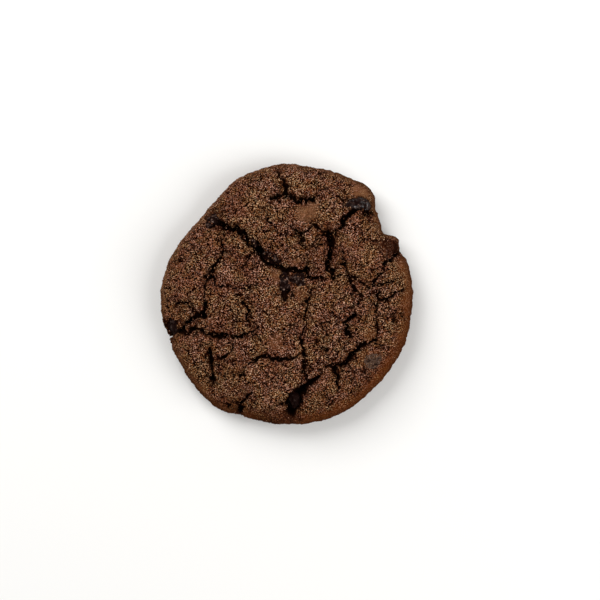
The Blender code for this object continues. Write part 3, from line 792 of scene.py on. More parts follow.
def level(points):
    """Height of the crust off the section, with swells and lumps but nothing cut.

    The sum of two noises, a swell between cracks, and the raised plates.
    """
    clear = crack_cut(points, MAIN_LINES)[1]
    rim = smooth_ramp(run_of(points), RIM_STARTS, RIM_FULL)
    rise = (1 - LUMP_CALM * rim) * noise(points, "lumps")
    rise = rise + (1 - PEBBLE_CALM * rim) * noise(points, "pebbles")
    rise = rise + PLATE_SWELL * (smooth_ramp(clear, 0, PLATE_SPAN) - 1)
    for *patch, height in PLATES:
        rise = rise + height * smooth_ramp(radii_out(points, *patch), *PLATE_SLOPE)
    return rise


def smoothness(points):
    """How smooth the crust is: most down the side, and some in the named patches.

    The side's smoothness starts higher up on the shaded side, and is stronger there.
    """
    run = run_of(points)
    edges = np.column_stack((noise(points, "smooth"), noise(points, "fringe")))
    away = np.clip(0.5 - (points @ SHADED_SIDE[:2]) / np.maximum(run, 1.0) / AWAY_SPAN, 0, 1)
    past = run + edges @ SIDE_UNEVEN - GRAIN_FARTHER * away
    smooth = (SIDE_SMOOTH - SIDE_ROUGHER * away) * smooth_ramp(past, GRAIN_THINS, GRAIN_ENDS)
    for *patch, amount in SMOOTH_PATCHES:
        out = radii_out(points, *patch) - edges @ PATCH_UNEVEN
        smooth = np.maximum(smooth, amount * smooth_ramp(out, *SMOOTH_REACH))
    return smooth


def scorch_and_shade(points, clear):
    """How dark the crust is: baked in the named patches and round chips, and in painted shade
    unevenly along cracks.

    It is black past 1, partly painted shade in holes and gaps, and paler than the rest below 0.
    """
    uneven = noise(points, "scorch_and_shade")
    # Painted shade along cracks, fading out from their edges
    dark = NEAR_CRACK * smooth_ramp(clear, NEAR_CRACK_SPAN * (1 + NEAR_CRACK_UNEVEN * uneven), 0)
    for *patch, amount in DARK_PATCHES:
        out = radii_out(points, *patch) - BAKED_UNEVEN * uneven
        dark = np.maximum(dark, amount * smooth_ramp(out, *BAKED_REACH))
    for *patch, amount in PALE_PATCHES:
        out = radii_out(points, *patch) - BAKED_UNEVEN * uneven
        dark = dark - amount * smooth_ramp(out, *BAKED_REACH) * (1 - np.clip(dark, 0, 1))
    for chip in CHIP_LIST:
        out = chip.share(points) - NEAR_CHIP_UNEVEN * uneven
        dark = np.maximum(dark, NEAR_CHIP * chip.lumpy * smooth_ramp(out, *NEAR_CHIP_REACH))
    return dark


def crust(points):
    """The finished crust at flat points (n, 2).

    Returns the height off the section, and the marks that its colours follow: how deep each
    point lies in a crack or pit from 0 to 1, for the painted shade there, the grain's own number
    with the gaps between grains at 0, how smooth the crust is, how dark it is baked and painted in
    shade along cracks and in holes, and how far it lies over the rim.
    """
    rise = level(points)
    torn = shift(shift(points, *TEAR), *BITE)
    cut, clear = crack_cut(torn, MAIN_LINES + FINE_LINES, ragged=True)
    rubble = (noise(points, "rubble") + RUBBLE_FILL) * smooth_ramp(cut, *RUBBLE_DEPTHS)
    scorched_and_shaded = scorch_and_shade(torn, clear)
    smooth = smoothness(points) * (1 - BURNT_ROUGH * np.clip(scorched_and_shaded, 0, 1))
    frayed = shift(torn, *FRAY)
    for chip in CHIP_LIST:
        rise = mix(rise, chip.seat(), smooth_ramp(chip.share(points), *SEAT_REACH))
        inward = (chip.hollow - chip.share(frayed)) * chip.half.min()
        hollow = smooth_ramp(inward, -HOLLOW_WALL / 2, HOLLOW_WALL / 2)
        cut = np.maximum(cut, (chip.sink + HOLLOW_DEPTH) * hollow)
    rise = rise + LIP_HEIGHT * smooth_ramp(clear, LIP_SPAN, 0) * (clear > 0)

    edge = cells(torn, HAIR_SPAN, HAIR_LAYER)[1] * HAIR_SPAN
    cracked = smooth_ramp(noise(points, "hair"), *HAIR_LEVELS)
    hair = smooth_ramp(edge, HAIR_WIDTH, 0) * cracked * (1 - HAIR_LOSS * smooth)
    cut = cut + HAIR_DEPTH * hair

    nearest, _, own = cells(points, GRAIN_SPAN, GRAIN_LAYER)
    dome = np.clip(1 - (nearest / GRAIN_REACH) ** 2, 0, 1)
    pit = smooth_ramp(noise(points, "pits"), *PIT_LEVELS)
    grained = 1 - smooth
    rise = rise + GRAIN_HEIGHT * (dome - GRAIN_LEVEL) * grained * (GRAIN_LEAST + own)
    rise = rise + noise(points, "fine") * mix(FINE_KEPT, 1.0, grained)
    cut = cut + PIT_DEPTH * pit * mix(PITS_KEPT, 1.0, grained)
    run = run_of(points)
    rise = rise + noise(points, "side") * smooth_ramp(run, RIM_STARTS, SIDE_FULL)

    fade = smooth_ramp(run, PROFILE["end"], PROFILE["end"] - BASE_FADE)
    # Painted shade down in cracks, pits and hair cracks, over their dark crumb; rubble lifts it
    crevice_shade = smooth_ramp(cut - RUBBLE_SHOWS * rubble, 0, CREVICE_DEPTH)
    marks = {
        "crevice_shade": np.clip(crevice_shade + HAIR_DARK * hair * cracked, 0, 1),
        "grain": own * dome * grained,
        "smooth": smooth,
        "scorch_and_shade": scorched_and_shaded,
        "rim": (run - RIM_BROWNS) / (RIM_BROWN - RIM_BROWNS),
    }
    return (rise - cut + rubble) * fade, marks


def square_to_disc(side):
    """A square grid pulled round into a disc: unit directions and distances out, rows of side.

    The larger coordinate of a point is its distance out, and the smaller one over it is its
    share of an eighth of a turn, so the squares become rings.
    """
    line = np.linspace(-1, 1, side)
    x, y = (axis.ravel() for axis in np.meshgrid(line, line))
    wide = np.abs(x) >= np.abs(y)
    out = np.where(wide, x, y)
    safe = np.where(out == 0, 1, out)
    angle = np.where(wide, y / safe * math.pi / 4, math.pi / 2 - x / safe * math.pi / 4)
    sign = np.where(out < 0, -1, 1)
    return np.column_stack((sign * np.cos(angle), sign * np.sin(angle))), np.abs(out)


def grid_quads(side):
    """Corner indices of a square grid's cells, anticlockwise: (cells, 4)."""
    first = (np.arange(side - 1)[:, None] * side + np.arange(side - 1)).ravel()
    return np.column_stack((first, first + 1, first + 1 + side, first + side))


def split_quads(quads, places):
    """Two triangles for each quad, cut along its shorter diagonal."""
    a, b, c, d = quads.T
    one = np.linalg.norm(places[a] - places[c], axis=1)
    other = np.linalg.norm(places[b] - places[d], axis=1)
    short = (one <= other)[:, None]
    first = np.where(short, np.column_stack((a, b, c)), np.column_stack((a, b, d)))
    second = np.where(short, np.column_stack((a, c, d)), np.column_stack((b, c, d)))
    return np.concatenate((first, second))


def rim_indices(side):
    """Indices round a square grid's border, anticlockwise from its first corner."""
    last = side - 1
    step = np.arange(last)
    return np.concatenate(
        (step, last + side * step, side * side - 1 - step, side * last - side * step)
    )


def add_object(name, data):
    """A new object in the scene, at the origin."""
    made = bpy.data.objects.new(name, data)
    bpy.context.scene.collection.objects.link(made)
    return made


def mesh_piece(name, places, triangles, material, slot, **marks):
    """An object at the origin from places in millimetres, with a number for each point a mark."""
    mesh = bpy.data.meshes.new(name)
    mesh.vertices.add(len(places))
    mesh.vertices.foreach_set("co", (places * MM).astype(np.float32).ravel())
    mesh.loops.add(triangles.size)
    mesh.loops.foreach_set("vertex_index", triangles.astype(np.int32).ravel())
    mesh.polygons.add(len(triangles))
    mesh.polygons.foreach_set("loop_start", np.arange(0, triangles.size, 3, dtype=np.int32))
    for mark, values in marks.items():
        attribute = mesh.attributes.new(mark, "FLOAT", "POINT")
        attribute.data.foreach_set("value", values.astype(np.float32))
    mesh.update(calc_edges=True)
    mesh.shade_smooth()
    mesh.materials.append(material)
    piece = add_object(name, mesh)
    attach(piece, BODY)
    return piece


class Signal:
    """A node's output. Plain arithmetic on it adds Math nodes."""

    def __init__(self, recipe, socket):
        self.recipe = recipe
        self.socket = socket

    def math(self, operation, *values):
        """A Math node of this recipe, fed with signals or numbers."""
        inputs = dict(enumerate(values))
        return self.recipe.node("ShaderNodeMath", {"operation": operation}, inputs)

    def __add__(self, other):
        return self.math("ADD", self, other)

    __radd__ = __add__

    def __sub__(self, other):
        return self.math("SUBTRACT", self, other)

    def __rsub__(self, other):
        return self.math("SUBTRACT", other, self)

    def __mul__(self, other):
        return self.math("MULTIPLY", self, other)

    __rmul__ = __mul__

    def clamped(self):
        """This, held between 0 and 1."""
        made = self.math("ADD", self, 0.0)
        made.socket.node.use_clamp = True
        return made

    def ramp(self, low, high):
        """0 where this is at low and 1 where it is at high, held between."""
        return ((self - low) * (1 / (high - low))).clamped()


class Recipe:
    """The nodes of one material round its Principled shader."""

    def __init__(self, name):
        self.material = bpy.data.materials.new(name)
        self.material.use_nodes = True
        self.tree = self.material.node_tree
        self.shader = self.tree.nodes["Principled BSDF"]
        place = self.node("ShaderNodeTexCoord", output="Object")
        self.place = self.vector_math("SCALE", {0: place, "Scale": 1 / MM})

    def node(self, kind, settings=None, inputs=None, output=0):
        """A new node: its settings first, then its sockets' values or links."""
        made = self.tree.nodes.new(kind)
        for name, value in (settings or {}).items():
            setattr(made, name, value)
        for name, value in (inputs or {}).items():
            self.feed(made.inputs[name], value)
        return Signal(self, made.outputs[output])

    def feed(self, socket, value):
        """Links a signal to a socket, or sets the socket's own value."""
        if isinstance(value, Signal):
            self.tree.links.new(value.socket, socket)
        else:
            socket.default_value = value

    def vector_math(self, operation, inputs, output=0):
        """One step of vector maths."""
        return self.node("ShaderNodeVectorMath", {"operation": operation}, inputs, output)

    def noise(self, span, detail=2.0, roughness=0.5, output=0):
        """Noise from 0 to 1 with a bump every span millimetres. Output 1 is a vector of three."""
        inputs = {"Vector": self.place, "Scale": 1 / span, "Detail": detail, "Roughness": roughness}
        return self.node("ShaderNodeTexNoise", {"noise_dimensions": "3D"}, inputs, output)

    def fissures(self, span, width, wander):
        """1 along ragged lines between cells span millimetres apart, and 0 off them."""
        rough = self.noise(span, detail=3.0, roughness=0.7, output=1)
        astray = self.vector_math("SCALE", {0: rough, "Scale": wander})
        place = self.vector_math("ADD", {0: self.place, 1: astray})
        inputs = {"Vector": place, "Scale": 1 / span}
        edge = self.node("ShaderNodeTexVoronoi", {"feature": "DISTANCE_TO_EDGE"}, inputs)
        return edge.ramp(width / span, width / span / 3)

    def mark(self, name):
        """A number kept with the mesh's points."""
        return self.node("ShaderNodeAttribute", {"attribute_name": name}, output="Fac")

    def towards(self, direction):
        """How many millimetres a place lies out in a direction."""
        return self.vector_math("DOT_PRODUCT", {0: self.place, 1: direction}, 1)

    def blend(self, share, first, second, how="MIX"):
        """One colour over another. The share picks the second."""
        settings = {"data_type": "RGBA", "blend_type": how}
        first = first if isinstance(first, Signal) else (*first, 1)
        second = second if isinstance(second, Signal) else (*second, 1)
        return self.node("ShaderNodeMix", settings, {0: share, 6: first, 7: second}, output=2)

    def bump(self, height, distance, strength):
        """A normal from a height, which stands distance millimetres at 1."""
        inputs = {"Height": height, "Distance": distance * MM, "Strength": strength}
        return self.node("ShaderNodeBump", {}, inputs)

    def finish(self, **sockets):
        """Feeds the shader's sockets, named with _ for a space, and gives the material."""
        for name, value in sockets.items():
            self.feed(self.shader.inputs[name.replace("_", " ")], value)
        return self.material


def dough_colour(recipe, look, grain, paler=0.0):
    """The dough's browns: a mid ground with black dashes and pale specks, in patches of two tints.

    The dashes are painted shade: near black in the gaps between fine grains and in the ragged lines
    of fissures. The specks are pale grains and painted highlights on grain tips, and crowd where a
    wide noise says that the dough is rougher. Spans are in millimetres. Returns the colour, and the
    fine pattern that its bump follows.
    """
    # Fine fissures, drawn as lines of painted shade
    fissures = recipe.fissures(span=2.6, width=0.12, wander=1.6)
    fissures = fissures * recipe.noise(span=1.8).ramp(0.5, 0.56)
    # Dashes of painted shade in the gaps between grains
    gaps = recipe.noise(span=0.28, detail=0.0).ramp(0.522, 0.467) + fissures
    rougher = recipe.noise(span=7.0, detail=1.0).ramp(0.35, 0.65) * 0.65 + paler + 0.52
    # Pale grains, and painted highlights on grain tips
    specks = recipe.noise(span=0.27, detail=0.0).ramp(0.545, 0.595)
    specks = (specks * rougher).clamped()
    blotch = recipe.noise(span=3.2, detail=3.0, roughness=0.6)
    tone = (recipe.noise(span=0.7) - 0.5) * 0.5 + (blotch - 0.5) * 0.7 + (grain - 0.3) * 0.2
    ground = recipe.blend((tone + 0.4 + paler).clamped(), look.crust_colour, look.light_colour)
    pale = recipe.blend(specks, ground, look.pale_and_highlight_colour)
    # Painted shade in the gaps: dark, and near black in the pores
    dark = recipe.blend((gaps * 1.6).clamped(), pale, look.mottle_and_gap_shade_colour)
    pored = recipe.blend((gaps * 1.6 - 0.6).clamped(), dark, look.pore_shade_colour)
    patch = recipe.noise(span=2.0, detail=1.0) + recipe.noise(span=6.0, detail=1.0)
    tint = recipe.blend(patch.ramp(0.85, 1.15), look.purple_tint, look.golden_tint)
    return recipe.blend(1.0, pored, tint, "MULTIPLY"), specks * 0.4 - gaps.clamped()


def crust_material(look):
    """Baked dough: grained on top, smooth round the rim and redder in painted shade on one side,
    and near black in cracks.

    The colours are laid over one another in order: grained dough, the rim's smooth band, lit on one
    side and in painted shade on the other, its warmer painted shade, its browned side darkened
    further by painted shade, the scorched dough with painted shade along cracks, and last the
    painted shade of the cracks.
    """
    recipe = Recipe("baked_crust")
    marks = ("crevice_shade", "grain", "smooth", "scorch_and_shade", "rim")
    crevice_shade, grain, smooth, scorch_and_shade, over = (recipe.mark(name) for name in marks)
    grained, fine = dough_colour(recipe, look, grain, (scorch_and_shade * -1.0).clamped())
    mottle = recipe.noise(span=1.6, detail=4.0, roughness=0.65)
    across = recipe.towards(SHADED_SIDE)
    # The rim lit on one side and in painted shade towards the side turned from the key light
    rim = recipe.blend(across.ramp(-30, 30), look.lit_rim_colour, look.shaded_rim_colour)
    rim = recipe.blend(mottle.ramp(0.6, 0.34) * 0.6, rim, look.mottle_and_gap_shade_colour)
    banded = recipe.blend((smooth * 0.8).clamped(), grained, rim)
    # A warmer painted shade over the lower part of the rim
    warm = over.ramp(0.0, 1.0) * recipe.towards(WARM_SHADE_SIDE).ramp(-10, 26)
    banded = recipe.blend(warm, banded, recipe.blend(1.0, banded, look.warm_shade_tint, "MULTIPLY"))
    # Side darker towards the shaded side and down to the base: browned crust and painted shade
    brown = over.ramp(0.7, 1.12) * (across.ramp(-26, -6) * 0.55 + 0.1) + over.ramp(1.2, 2.2) * 0.35
    banded = recipe.blend(brown, banded, look.side_brown_and_shade_colour)
    # Baked darker, painted shade along cracks, and past 1 black, partly painted shade in holes
    scorched_and_shaded = recipe.blend((scorch_and_shade * 0.6).clamped(), banded, look.scorch_and_shade_colour)
    black_patched = recipe.blend(scorch_and_shade.ramp(1.0, 1.5) * 0.9, scorched_and_shaded, look.crack_shade_colour)
    # Painted shade down in the cracks and pits, over their dark crumb
    colour = recipe.blend(crevice_shade.ramp(0.05, 0.7) * 0.96, black_patched, look.crack_shade_colour)
    relief = fine * (1.15 - smooth) + mottle * 0.3
    relief = recipe.bump(relief, distance=0.22, strength=0.9)
    roughness = (0.9 - smooth * 0.2).clamped()
    return recipe.finish(
        Base_Color=colour, Roughness=roughness, Normal=relief, Specular_IOR_Level=0.0
    )


def grain_material(look):
    """Loose grains and crumbs of the crust, each a tone of its own."""
    recipe = Recipe("crust_grain")
    colour, fine = dough_colour(recipe, look, recipe.mark("tone"))
    relief = recipe.bump(fine, distance=0.12, strength=0.8)
    return recipe.finish(Base_Color=colour, Roughness=0.85, Normal=relief, Specular_IOR_Level=0.0)


def chocolate_material(look):
    """Set chocolate: near black, with bloom and dust on its lumps and a few glossy spots.

    Dust settles where a chip has a film. Its creases and sunk side keep the bare near-black
    chocolate without dust, bloom and coat, as painted shade. A film thick enough shows as dough.
    """
    recipe = Recipe("set_chocolate")
    film, gloss, crease = (recipe.mark(name) for name in ("film", "gloss", "crease"))
    rough = recipe.noise(span=0.5, detail=3.0, roughness=0.65)
    # Creases and the sunk side are kept bare and near black: painted shade
    dust = ((rough - 0.5) * 5.0 + film * 1.4 - crease * 1.5).clamped()
    bloom = recipe.noise(span=0.9, detail=3.0, roughness=0.6).ramp(0.52, 0.68) * (1.0 - crease)
    dark = recipe.blend((bloom * 0.6).clamped(), look.chocolate_colour, look.bloom_colour)
    specks = recipe.noise(span=0.4, roughness=0.8).ramp(0.47, 0.6)
    dusty = recipe.blend(specks, look.film_colour, look.dust_colour)
    doughy = recipe.blend(film.ramp(0.6, 0.9) * 0.75, dusty, look.dough_colour)
    colour = recipe.blend(dust * 0.9, dark, doughy)
    relief = recipe.bump(rough, distance=0.25, strength=0.8)
    roughness = (0.45 + dust * 0.4).clamped()
    glossy = recipe.noise(span=1.2).ramp(0.5, 0.66) * 2.0 + 0.2
    coat = (glossy * gloss - dust * 0.4 - crease * 0.4).clamped()
    return recipe.finish(
        Base_Color=colour, Roughness=roughness, Normal=relief, Specular_IOR_Level=0.02,
        Coat_Weight=coat, Coat_Roughness=0.08,
    )


def build_crust(cookie):
    """The dough as one closed mesh: the wrapped crust, the base, and the slivers between them."""
    side = BASE_COARSER * (cookie.grid_cells // BASE_COARSER) + 1
    direction, out = square_to_disc(side)
    run = PROFILE["end"] * mix(out, out**GRID_WIDENS_POWER, GRID_WIDENS)
    flat = direction * run[:, None]
    rise, marks = crust(flat)
    places = wrap(flat, rise)
    rim = rim_indices(side)
    places[rim, 2] = 0
    crust_faces = split_quads(grid_quads(side), places)

    base_side = (side - 1) // BASE_COARSER + 1
    direction, out = square_to_disc(base_side)
    angle = np.arctan2(direction[:, 1], direction[:, 0])
    edge = PROFILE["radius"][-1] * outline_radius(angle) / RADIUS
    base_flat = direction * (out * edge)[:, None]
    dimple = BASE_DIMPLE * smooth_ramp(noise(base_flat, "base"), 0, 1)
    dimple = dimple * smooth_ramp(out, 1, BASE_LEVEL_EDGE)
    base_places = np.column_stack((base_flat, dimple))
    index = len(places) + np.arange(len(base_places))
    index[rim_indices(base_side)] = rim[::BASE_COARSER]
    base_faces = index[split_quads(grid_quads(base_side), base_places)][:, ::-1]

    ring = np.append(rim, rim[0])
    start = np.arange(0, len(rim), BASE_COARSER)
    slivers = [
        np.column_stack((ring[start + BASE_COARSER], ring[start + i], ring[start + i - 1]))
        for i in range(BASE_COARSER - 1, 0, -1)
    ]
    places = np.concatenate((places, base_places))
    triangles = np.concatenate((crust_faces, base_faces, *slivers))
    used = np.zeros(len(places), dtype=bool)
    used[triangles] = True
    renumber = np.cumsum(used) - 1
    for name, values in marks.items():
        base = np.full(len(base_places), float(name in ("smooth", "rim")))
        marks[name] = np.concatenate((values, base))[used]
    material = crust_material(cookie)
    piece = mesh_piece("baked_dough", places[used], renumber[triangles], material, "crust", **marks)
    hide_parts("cookie")


def lens_faces(sides, rings):
    """Triangles of rings of points from a bottom pole to a top pole, both among the points."""
    side = np.arange(sides)
    after = (side + 1) % sides
    last = 1 + rings * sides
    faces = [np.column_stack((np.zeros(sides, int), 1 + after, 1 + side))]
    for ring in range(rings - 1):
        low, high = 1 + ring * sides, 1 + (ring + 1) * sides
        faces.append(np.column_stack((low + side, low + after, high + after)))
        faces.append(np.column_stack((low + side, high + after, high + side)))
    top = last - sides
    faces.append(np.column_stack((top + side, top + after, np.full(sides, last))))
    return np.concatenate(faces)


def build_chip(chip, material):
    """A chip: a lens with an uneven outline, its crown lumpy from melting and setting.

    Down a meridian the share of the outline is a sine, and the height is a cosine, deep below
    the rim and low above it.
    """
    turn = np.linspace(0, math.pi, CHIP_RINGS + 2)
    share = np.concatenate(([0.0], np.repeat(np.sin(turn[1:-1]), CHIP_SIDES), [0.0]))
    bowl = np.concatenate(([1.0], np.repeat(np.cos(turn[1:-1]), CHIP_SIDES), [-1.0]))
    angle = np.tile(np.arange(CHIP_SIDES) * TURN / CHIP_SIDES, CHIP_RINGS)
    angle = np.concatenate(([0.0], angle, [0.0]))
    flat = chip.points(angle, share * HIDDEN_SHARE)
    crown, crease = chip.crown_height(flat, -bowl)
    height = np.where(bowl > 0, -chip.depth * bowl, crown)
    film, gloss = np.full(len(flat), chip.film), np.full(len(flat), chip.gloss)
    faces = lens_faces(CHIP_SIDES, CHIP_RINGS)
    name = "melted_" + chip.name
    places = wrap(flat, chip.seat() - chip.sink + height)
    marks = {"film": film, "gloss": gloss, "crease": crease}
    piece = mesh_piece(name, places, faces, material, "chocolate", **marks)
    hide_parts(chip.name)


def icosahedron():
    """The 12 corners and 20 faces of a ball one unit across its radius."""
    golden = (1 + math.sqrt(5)) / 2
    corners = []
    for a in (-1, 1):
        for b in (-golden, golden):
            corners += [(a, b, 0), (0, a, b), (b, 0, a)]
    corners = np.array(corners, dtype=float)
    gap = np.linalg.norm(corners[:, None] - corners[None], axis=2)
    near = np.isclose(gap, 2)
    faces = []
    for i, j, k in combinations(range(len(corners)), 3):
        if near[i, j] and near[j, k] and near[i, k]:
            normal = np.cross(corners[j] - corners[i], corners[k] - corners[i])
            faces.append((i, j, k) if normal @ corners[i] > 0 else (i, k, j))
    return corners / np.linalg.norm(corners[0]), np.array(faces)


def scatter_stones(name, flat, rise, size, tone, seed, material):
    """Joined little stones on the crust: one uneven ball of 20 faces at each flat point.

    Each is turned by its own random turn, and stretched by its own three radii about its size.
    """
    random = np.random.default_rng(seed)
    corners, faces = icosahedron()
    count = len(flat)
    turn, _ = np.linalg.qr(random.normal(size=(count, 3, 3)))
    turn[np.linalg.det(turn) < 0, :, 0] *= -1
    radii = size[:, None] * random.uniform(*STONE_RADII, (count, 3))
    uneven = random.uniform(*STONE_CORNERS, (count, len(corners), 1))
    stones = np.einsum("nij,nkj->nki", turn, corners * uneven * radii[:, None, :])
    places = (wrap(flat, rise)[:, None, :] + stones).reshape(-1, 3)
    triangles = (np.arange(count)[:, None, None] * len(corners) + faces).reshape(-1, 3)
    mesh_piece(name, places, triangles, material, "crust", tone=np.repeat(tone, len(corners)))


def lattice_points(span, layer, reach):
    """Every jittered lattice point within a run of the middle, and its own number from 0 to 1."""
    count = math.ceil(reach / span)
    column, row = (axis.ravel() for axis in np.meshgrid(*[np.arange(-count, count + 1)] * 2))
    flat = np.column_stack(cell_centre(column, row, layer)) * span
    own = lattice(column, row, layer + 2)
    inside = run_of(flat) < reach
    return flat[inside], own[inside]


def build_grains(cookie):
    """The crust's loose grains: one in a share of its grain's cells, sunk deep into it."""
    draw_seed, stone_seed = GRAIN_SEEDS
    flat, own = lattice_points(GRAIN_SPAN, GRAIN_LAYER, PROFILE["end"] - BARE_BASE)
    random = np.random.default_rng(draw_seed)
    rise, marks = crust(flat)
    keep = random.random(len(flat)) < GRAIN_SHARE * (1.0 - GRAIN_LOSS * marks["smooth"])
    keep &= marks["crevice_shade"] < GRAIN_CREVICE
    for chip in CHIP_LIST:
        keep &= chip.share(flat) > 1
    flat, own, rise = flat[keep], own[keep], rise[keep]
    size = cookie.grain_size / MM / 2 * random.uniform(*GRAIN_SIZES, len(flat))
    rise = rise - GRAIN_SUNK * size
    material = grain_material(cookie)
    scatter_stones("crust_grains", flat, rise, size, own, stone_seed, material)


def build_crumbs(cookie):
    """Crumbs: broken bits of crust along the cracks, down in them, and on the chips."""
    draw_seed, stone_seed = CRUMB_SEEDS
    random = np.random.default_rng(draw_seed)
    flat, sizes = [], []
    for line, widths in MAIN_LINES + FINE_LINES:
        count = max(CRUMBS_LEAST, round(len(line) * CRUMBS_PER_STEP))
        i = random.integers(0, len(line), count)
        spread = CRUMB_SPREAD + CRUMB_SPREAD_PER_WIDTH * widths[i]
        flat.append(line[i] + random.normal(size=(count, 2)) * spread[:, None])
        sizes.append(random.uniform(*CRUMB_SIZES, count))
    for chip in CHIP_LIST:
        count = round(CRUMBS_PER_AREA * max(chip.film, 0) * chip.half.prod() * math.pi)
        flat.append(chip.points(random.uniform(0, TURN, count), np.sqrt(random.random(count))))
        sizes.append(random.uniform(*CHIP_CRUMB_SIZES, count))
    flat, size = np.concatenate(flat), np.concatenate(sizes) * cookie.crumb_size / MM / 2
    rise, _ = crust(flat)
    bare = np.zeros(len(flat), dtype=bool)
    for chip in CHIP_LIST:
        share = chip.share(flat)
        bare |= (share < chip.hollow) & (chip.film < BARE_FILM)
        rise = np.where(share < 1, np.maximum(rise, chip.top(flat)), rise)
    flat, size, rise = flat[~bare], size[~bare], rise[~bare]
    tone = random.uniform(*CRUMB_TONES, len(flat))
    rise = rise - CRUMB_SUNK * size
    scatter_stones("crumbs", flat, rise, size, tone, stone_seed, grain_material(cookie))


def swatch(name, description, default):
    """A setting that is a colour."""
    return FloatVectorProperty(name=name, description=description, default=default, subtype="COLOR")


def metres(name, description, default):
    """A setting in metres."""
    return FloatProperty(
        name=name, description=description, default=default, unit="LENGTH", precision=5
    )


def watts(name, description, default):
    """A setting in watts."""
    return FloatProperty(name=name, description=description, default=default, unit="POWER")


class CookieSettings(bpy.types.PropertyGroup):
    """Sizes and colours of the dough."""

    grid_cells: IntProperty(
        name="Grid cells", description="Cells across the crust's grid", default=300, min=40
    )
    grain_size: metres("Grain size", "Mean size of a grain of the crust", 0.00042)
    crumb_size: metres("Crumb size", "Mean size of a crumb by the cracks", 0.0006)
    # Painted shade down in the pores
    pore_shade_colour: swatch("Pores", "Colour down in the pores", (0.002, 0.0002, 0.0001))
    # Painted shade in the gaps between grains and fissures, and the rim's dark mottling
    mottle_and_gap_shade_colour: swatch("Dark grains", "Colour of the dark grains", (0.062, 0.009, 0.002))
    # Dough scorched round chips and in patches, and painted shade along cracks
    scorch_and_shade_colour: swatch(
        "Scorched", "Colour of the crust by cracks and chips", (0.04, 0.01, 0.0045)
    )
    crust_colour: swatch("Crust", "Colour of the baked crust", (0.16, 0.053, 0.0205))
    light_colour: swatch("Light grains", "Colour of the light grains", (0.24, 0.096, 0.044))
    # Pale grains, and painted highlights on grain tips
    pale_and_highlight_colour: swatch("Palest grains", "Colour of the palest grains", (0.6, 0.37, 0.25))
    # The rim lit, and the rim in painted shade on the side turned from the key light
    lit_rim_colour: swatch("Rim", "Colour of the smooth rim band", (0.2, 0.102, 0.052))
    shaded_rim_colour: swatch(
        "Browner rim", "Colour of the rim on its browner side", (0.155, 0.044, 0.011)
    )
    # The side browned, and in painted shade stronger on the shaded side and towards the base
    side_brown_and_shade_colour: swatch("Side", "Colour of the browned side", (0.05, 0.016, 0.006))
    # Tint of the warmer painted shade on the lower rim
    warm_shade_tint: swatch("Rim tint", "Tint of the rim's warmest part", (0.82, 0.68, 0.48))
    # Painted shade down in the cracks over their dark crumb, and the black of the darkest patches
    crack_shade_colour: swatch("Cracks", "Colour down in the cracks", (0.0065, 0.0015, 0.0006))
    purple_tint: swatch("Purple tint", "Tint of the purple brown patches", (1.0, 0.89, 0.93))
    golden_tint: swatch("Golden tint", "Tint of the golden patches", (1.0, 1.0, 0.81))


class ChipSettings(bpy.types.PropertyGroup):
    """Colours of the chocolate chips."""

    chocolate_colour: swatch("Chocolate", "Colour of the chips", (0.008, 0.0025, 0.0018))
    bloom_colour: swatch("Bloom", "Colour of the thin bloom on the chips", (0.04, 0.024, 0.02))
    film_colour: swatch("Film", "Colour of the thin dough film on the chips", (0.032, 0.012, 0.008))
    dough_colour: swatch(
        "Dough film", "Colour of the dough over a covered chip", (0.086, 0.047, 0.028)
    )
    dust_colour: swatch("Dust", "Colour of the crumb dust on the chips", (0.3, 0.2, 0.16))


class StageSettings(bpy.types.PropertyGroup):
    """The table, the camera and the lights."""

    floor_colour: swatch("Table", "Colour of the table", (0.86, 0.855, 0.84))
    field_width: metres("Field", "Width that the picture covers at the cookie's edge", 0.15)
    camera_distance: metres("Camera distance", "From the camera to the cookie's edge", 0.42)
    key_power: watts("Key light", "Power of the soft key light", 4.8)
    fill_power: watts("Fill light", "Power of the soft fill light", 3.75)
    sky: FloatProperty(name="Sky", description="Strength of the even light", default=0.3)


class COOKIE_OT_crust(bpy.types.Operator):
    """Builds the dough with its cracks, lumps and grain"""

    bl_idname = "cookie.crust"
    bl_label = "Baked dough"

    def execute(self, context):
        build_crust(context.scene.cookie)
        return {"FINISHED"}


class COOKIE_OT_grains(bpy.types.Operator):
    """Scatters the coarse grains over the crust"""

    bl_idname = "cookie.grains"
    bl_label = "Crust grains"

    def execute(self, context):
        build_grains(context.scene.cookie)
        return {"FINISHED"}


class COOKIE_OT_crumbs(bpy.types.Operator):
    """Scatters crumbs along the cracks and on the chips"""

    bl_idname = "cookie.crumbs"
    bl_label = "Crumbs"

    def execute(self, context):
        build_crumbs(context.scene.cookie)
        return {"FINISHED"}


class COOKIE_OT_chips(bpy.types.Operator):
    """Builds the melted and set chocolate chips"""

    bl_idname = "cookie.chips"
    bl_label = "Chocolate chips"

    def execute(self, context):
        material = chocolate_material(context.scene.cookie_chips)
        for chip in CHIP_LIST:
            build_chip(chip, material)
        return {"FINISHED"}


def add_light(name, energy, size, place):
    """A square area light of a width, at a place in metres and turned to the cookie."""
    lamp = bpy.data.lights.new(name, "AREA")
    lamp.energy = energy
    lamp.size = size
    made = add_object(name, lamp)
    made.location = place
    x, y, z = place
    made.rotation_euler = (math.acos(z / math.hypot(*place)), 0, math.atan2(y, x) + math.pi / 2)


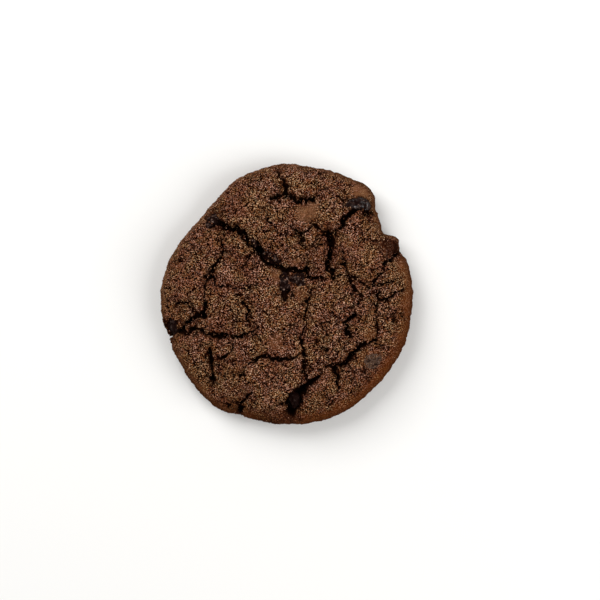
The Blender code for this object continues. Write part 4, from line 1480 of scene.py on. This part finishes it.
class COOKIE_OT_stage(bpy.types.Operator):
    """Sets the table, the soft lights and the camera that looks straight down"""

    bl_idname = "cookie.stage"
    bl_label = "Table, lights and camera"

    def execute(self, context):
        stage = context.scene.cookie_stage
        mesh = bpy.data.meshes.new("table")
        around = ((-1, -1), (1, -1), (1, 1), (-1, 1))
        corners = [(TABLE_REACH * x, TABLE_REACH * y, TABLE_TOP) for x, y in around]
        mesh.from_pydata(corners, [], [(0, 1, 2, 3)])
        floor_colour = (*stage.floor_colour, 1)
        mesh.materials.append(Recipe("pale_table").finish(Base_Color=floor_colour, Roughness=0.6))
        add_object("table", mesh)

        world = bpy.data.worlds.new("sky")
        world.use_nodes = True
        background = world.node_tree.nodes["Background"]
        background.inputs["Color"].default_value = SKY_COLOUR
        background.inputs["Strength"].default_value = stage.sky
        context.scene.world = world
        add_light("key", stage.key_power, *KEY_LIGHT)
        add_light("fill", stage.fill_power, *FILL_LIGHT)

        camera = bpy.data.cameras.new("camera")
        camera.sensor_width = SENSOR_WIDTH
        camera.lens = camera.sensor_width * stage.camera_distance / stage.field_width
        camera.clip_start = CAMERA_NEAREST
        looking = add_object("camera", camera)
        x, y = CAMERA_OVER
        looking.location = (x * MM, y * MM, EQUATOR_HEIGHT * MM + stage.camera_distance)
        context.scene.camera = looking
        context.scene.view_settings.view_transform = "Standard"
        return {"FINISHED"}


OPERATORS = (
    COOKIE_OT_crust, COOKIE_OT_grains, COOKIE_OT_crumbs, COOKIE_OT_chips, COOKIE_OT_stage,
)
GROUPS = (
    ("cookie", CookieSettings), ("cookie_chips", ChipSettings), ("cookie_stage", StageSettings),
)


class COOKIE_PT_panel(bpy.types.Panel):
    """The cookie's pieces and their settings"""

    bl_label = "Chocolate cookie"
    bl_space_type = "VIEW_3D"
    bl_region_type = "UI"
    bl_category = "Cookie"

    def draw(self, context):
        for operator in OPERATORS:
            self.layout.operator(operator.bl_idname)
        for name, group in GROUPS:
            box = self.layout.box()
            for setting in group.__annotations__:
                box.prop(getattr(context.scene, name), setting)


def register():
    """Adds the settings, the operators and the panel to Blender."""
    for name, group in GROUPS:
        bpy.utils.register_class(group)
        setattr(bpy.types.Scene, name, PointerProperty(type=group))
    for made in (*OPERATORS, COOKIE_PT_panel):
        bpy.utils.register_class(made)


def unregister():
    """Takes them out again, last one first."""
    for made in (COOKIE_PT_panel, *reversed(OPERATORS)):
        bpy.utils.unregister_class(made)
    for name, group in reversed(GROUPS):
        delattr(bpy.types.Scene, name)
        bpy.utils.unregister_class(group)


def main():
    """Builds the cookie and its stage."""
    register()
    bpy.ops.cookie.crust()
    bpy.ops.cookie.grains()
    bpy.ops.cookie.crumbs()
    bpy.ops.cookie.chips()
    bpy.ops.cookie.stage()


if __name__ == "__main__":
    main()
